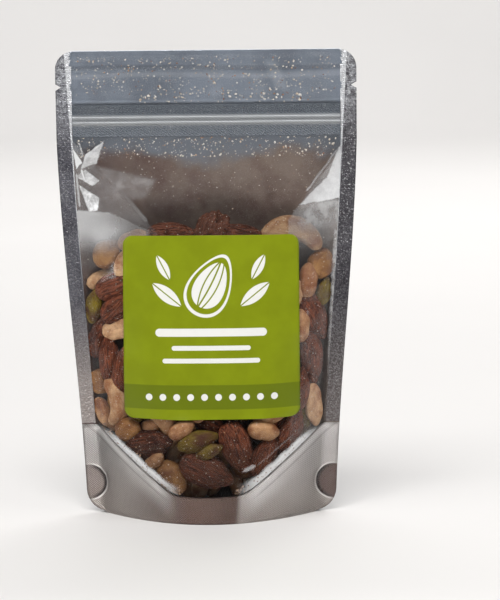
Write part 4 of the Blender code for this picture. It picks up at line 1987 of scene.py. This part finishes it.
@dataclass
class Crumbs:
    """Salt, dust and crumbs that cling to the inside of the film."""

    form: PouchForm
    drape: Drape
    seed: int = 5
    along_weld: int = 300

    def spots(self, random: np.random.Generator) -> tuple[Array, Array]:
        """Where grains lie and how big they are, in zones of the film and along the weld.

        Args:
            random: Random numbers.

        Returns:
            N x 2 places (x, z) and N sizes.
        """
        zones = (
            (560, (-56.0, 56.0), (157.0, 165.6), (0.28, 1.0)),
            (200, (-56.0, 56.0), (142.0, 158.0), (0.24, 0.5)),
            (90, (-30.0, 45.0), (180.5, 184.5), (0.6, 1.5)),
            (90, (-56.0, 56.0), (166.5, 179.5), (0.4, 1.0)),
            (460, (-56.0, 56.0), (184.0, 200.5), (0.45, 1.0)),
            (560, (-54.0, 54.0), (24.0, 150.0), (0.24, 0.58)),
        )
        places, sizes = [], []
        for count, (x0, x1), (z0, z1), (small, large) in zones:
            x, z = random.uniform(x0, x1, count), random.uniform(z0, z1, count)
            places.append(np.stack([x, z], 1))
            sizes.append(small + (large - small) * random.random(count) ** 2.5)
        along = random.uniform(-1.0, 0.62, self.along_weld)
        x = np.sign(along) * (11.0 + 36.0 * np.abs(along))
        z = self.form.weld(x) + random.gamma(1.7, 1.0, self.along_weld) + 0.9
        places.append(np.stack([x, z], 1))
        sizes.append(0.35 + 1.1 * random.random(self.along_weld) ** 2.5)
        return np.concatenate(places), np.concatenate(sizes)

    def build(self, finish: Material) -> Piece:
        """Makes all grains as one piece of small uneven solids.

        Args:
            finish: Their material.

        Returns:
            The grains.
        """
        random = np.random.default_rng(self.seed)
        places, sizes = self.spots(random)
        keep = self.form.inside(places[:, 0], places[:, 1]) < 0.97
        places, sizes = places[keep], sizes[keep]
        ball, faces = make_ball(1)
        depth = self.drape.film(places[:, 0], places[:, 1])
        points, all_faces = [], []
        for i, ((x, z), size) in enumerate(zip(places, sizes)):
            uneven = ball * random.uniform(0.6, 1.25, (len(ball), 1)) * random.uniform(0.6, 1.2, 3)
            # Flatter in the header, where film and foil lie close together.
            flat = np.array([1.0, 0.5 if depth[i] > 1.2 else 0.28, 1.0])
            middle = np.array([x, -max(depth[i] - 0.2 - 0.6 * size, 0.0), z])
            points.append(uneven * flat * size * 0.5 + middle)
            all_faces.append(faces + i * len(ball))
        joined = np.concatenate(points), np.concatenate(all_faces)
        return make_mesh("crumbs", *joined, finish, "pouch_film", smooth=False)


# Room


@dataclass(frozen=True)
class Lamp:
    """A soft light: its place and the point that it faces in metres, its size, and its watts."""

    name: str
    place: Triple
    aim: Triple
    size: Point
    power: float
    tint: Colour = (1.0, 0.985, 0.97)

    def hang(self) -> None:
        """Adds the light to the scene."""
        lamp = bpy.data.lights.new(self.name, "AREA")
        lamp.shape = "RECTANGLE"
        lamp.size, lamp.size_y = self.size
        lamp.energy = self.power
        lamp.color = self.tint
        made = bpy.data.objects.new(self.name, lamp)
        made.location = self.place
        toward = Vector(self.aim) - Vector(self.place)
        made.rotation_euler = toward.to_track_quat("-Z", "Y").to_euler()
        bpy.context.scene.collection.objects.link(made)


@dataclass
class Studio:
    """Pale floor, soft lights and the camera, in metres and degrees."""

    distance: float = 1.150
    azimuth: float = 1.5
    elevation: float = 8.6
    roll: float = -0.70
    lens: float = 189.7
    aim: Triple = (0.0180, 0.0, 0.0940)
    floor_front: float = -2.2
    floor_back: float = 1.8
    floor_curve: float = 0.5
    floor_half: float = 2.6
    wall_top: float = 2.0
    lamps: tuple[Lamp, ...] = (
        Lamp("left_soft", (-0.865, -0.54, 0.56), (0.0, 0.0, 0.1), (0.5, 0.4), 2.4),
        Lamp("right_soft", (0.90, -0.40, 0.65), (0.0, 0.0, 0.1), (0.5, 0.4), 2.4),
        Lamp("front_soft", (-0.10, -0.75, 1.40), (0.0, 0.0, 0.1), (1.0, 0.6), 18.0),
        Lamp("wall_wash", (0.0, 0.95, 1.50), (0.0, 2.0, 0.1), (2.4, 0.5), 23.0),
        Lamp("back_soft", (0.70, 1.25, 0.95), (0.0, 0.0, 0.1), (0.7, 0.5), 4.0),
    )

    def floor(self) -> None:
        """A wide pale floor that curves up behind."""
        bend = self.floor_curve
        profile = [(self.floor_front, 0.0), (self.floor_back, 0.0)]
        for turn in np.linspace(0.0, 0.5 * math.pi, 14)[1:]:
            profile.append((self.floor_back + bend * math.sin(turn), bend * (1.0 - math.cos(turn))))
        profile.append((self.floor_back + bend, self.wall_top))
        points = [(x, y, z) for y, z in profile for x in (-self.floor_half, self.floor_half)]
        mesh = bpy.data.meshes.new("floor")
        mesh.from_pydata(points, [], grid_faces(len(profile), 2, flip=True).tolist())
        mesh.shade_smooth()
        bench = Bench("floor_paint")
        tone = bench.noise(bench.place(), 0.004, 2.0, 0.5)
        base = bench.mix(tone, (0.78, 0.77, 0.76), (0.82, 0.81, 0.80))
        mesh.materials.append(bench.done(bench.surface(Base_Color=base, Roughness=0.6)))
        piece = bpy.data.objects.new("floor", mesh)
        bpy.context.scene.collection.objects.link(piece)

    def world(self) -> None:
        """A dim, even, slightly blue light from all around."""
        world = bpy.data.worlds.new("room")
        world.use_nodes = True
        background = world.node_tree.nodes["Background"]
        background.inputs["Color"].default_value = (0.93, 0.95, 1.0, 1.0)
        background.inputs["Strength"].default_value = 0.16
        bpy.context.scene.world = world

    def camera(self) -> None:
        """The camera, at the photograph's angle."""
        lens = bpy.data.cameras.new("camera")
        lens.lens = self.lens
        lens.sensor_fit = "HORIZONTAL"
        lens.sensor_width = 36.0
        lens.clip_start = 0.01
        made = bpy.data.objects.new("camera", lens)
        turn, rise = math.radians(self.azimuth), math.radians(self.elevation)
        level = Vector((math.sin(turn), -math.cos(turn), 0.0)) * math.cos(rise)
        away = level + Vector((0.0, 0.0, math.sin(rise)))
        made.location = Vector(self.aim) + away * self.distance
        look = (-away).to_track_quat("-Z", "Y").to_matrix()
        made.rotation_euler = (look @ Matrix.Rotation(math.radians(self.roll), 3, "Z")).to_euler()
        bpy.context.scene.collection.objects.link(made)
        bpy.context.scene.camera = made

    def build(self) -> None:
        """Sets everything up."""
        self.floor()
        self.world()
        for lamp in self.lamps:
            lamp.hang()
        self.camera()
        bpy.context.scene.view_settings.view_transform = "Standard"


NUT_SKINS = {
    Kind.ALMOND: NutSkin(
        name="almond_skin",
        light=(0.245, 0.065, 0.027),
        dark=(0.042, 0.010, 0.005),
        patch=(0.24, 0.080, 0.036),
        patch_share=0.2,
        streaks=0.9,
        roughness=0.33,
        bumpiness=1.6,
        spread=0.30,
    ),
    Kind.CASHEW: NutSkin(
        name="cashew_flesh",
        light=(0.66, 0.425, 0.235),
        dark=(0.31, 0.155, 0.072),
        patch=(0.30, 0.120, 0.048),
    ),
    Kind.PEANUT: NutSkin(
        name="peanut_flesh",
        light=(0.60, 0.345, 0.170),
        dark=(0.27, 0.115, 0.050),
        patch=(0.23, 0.082, 0.033),
    ),
    Kind.PEANUT_HALF: NutSkin(
        name="peanut_half_flesh",
        light=(0.70, 0.445, 0.250),
        dark=(0.33, 0.160, 0.075),
        patch=(0.28, 0.108, 0.042),
        patch_share=0.45,
    ),
    Kind.PISTACHIO: NutSkin(
        name="pistachio_skin",
        light=(0.230, 0.165, 0.012),
        dark=(0.070, 0.036, 0.004),
        patch=(0.075, 0.022, 0.008),
        patch_share=0.55,
        streaks=0.45,
        bumpiness=1.0,
    ),
    Kind.HAZELNUT: NutSkin(
        name="hazelnut_flesh",
        light=(0.42, 0.215, 0.072),
        dark=(0.20, 0.078, 0.026),
        patch=(0.15, 0.055, 0.021),
        roughness=0.40,
        bumpiness=0.7,
    ),
    Kind.PECAN: NutSkin(
        name="pecan_skin",
        light=(0.17, 0.052, 0.024),
        dark=(0.030, 0.009, 0.005),
        patch=(0.24, 0.10, 0.048),
        patch_share=0.15,
        streaks=0.55,
        bumpiness=1.4,
    ),
}


def main() -> None:
    """Builds every piece in order."""
    logging.basicConfig(level=logging.INFO, format="%(name)s: %(message)s")
    pieces = NutHeap(FORM).build({kind: skin.make() for kind, skin in NUT_SKINS.items()})
    drape = Drape(FORM)
    drape.settle(np.array([vert.co[:] for nuts in pieces for vert in nuts.data.vertices]) / MM)
    pieces.append(FrontFilm(FORM, drape).build(ClearFilm().make(), SideSeal().make()))
    pieces.append(FoilBack(FORM).build(PanelFoil().make(), InnerFoil().make()))
    pieces.append(Gusset(FORM).build(GussetFoil().make()))
    pieces.append(ZipStrip(FORM).build(ZipPlastic().make()))
    label = Label()
    pieces.append(label.build(drape, LabelPaper().make(label.middle())))
    pieces.append(Crumbs(FORM, drape).build(Speck().make()))
    Studio().build()
    for piece in pieces:
        log.info("%s: %d faces", piece.name, len(piece.data.polygons))


if __name__ == "__main__":
    main()
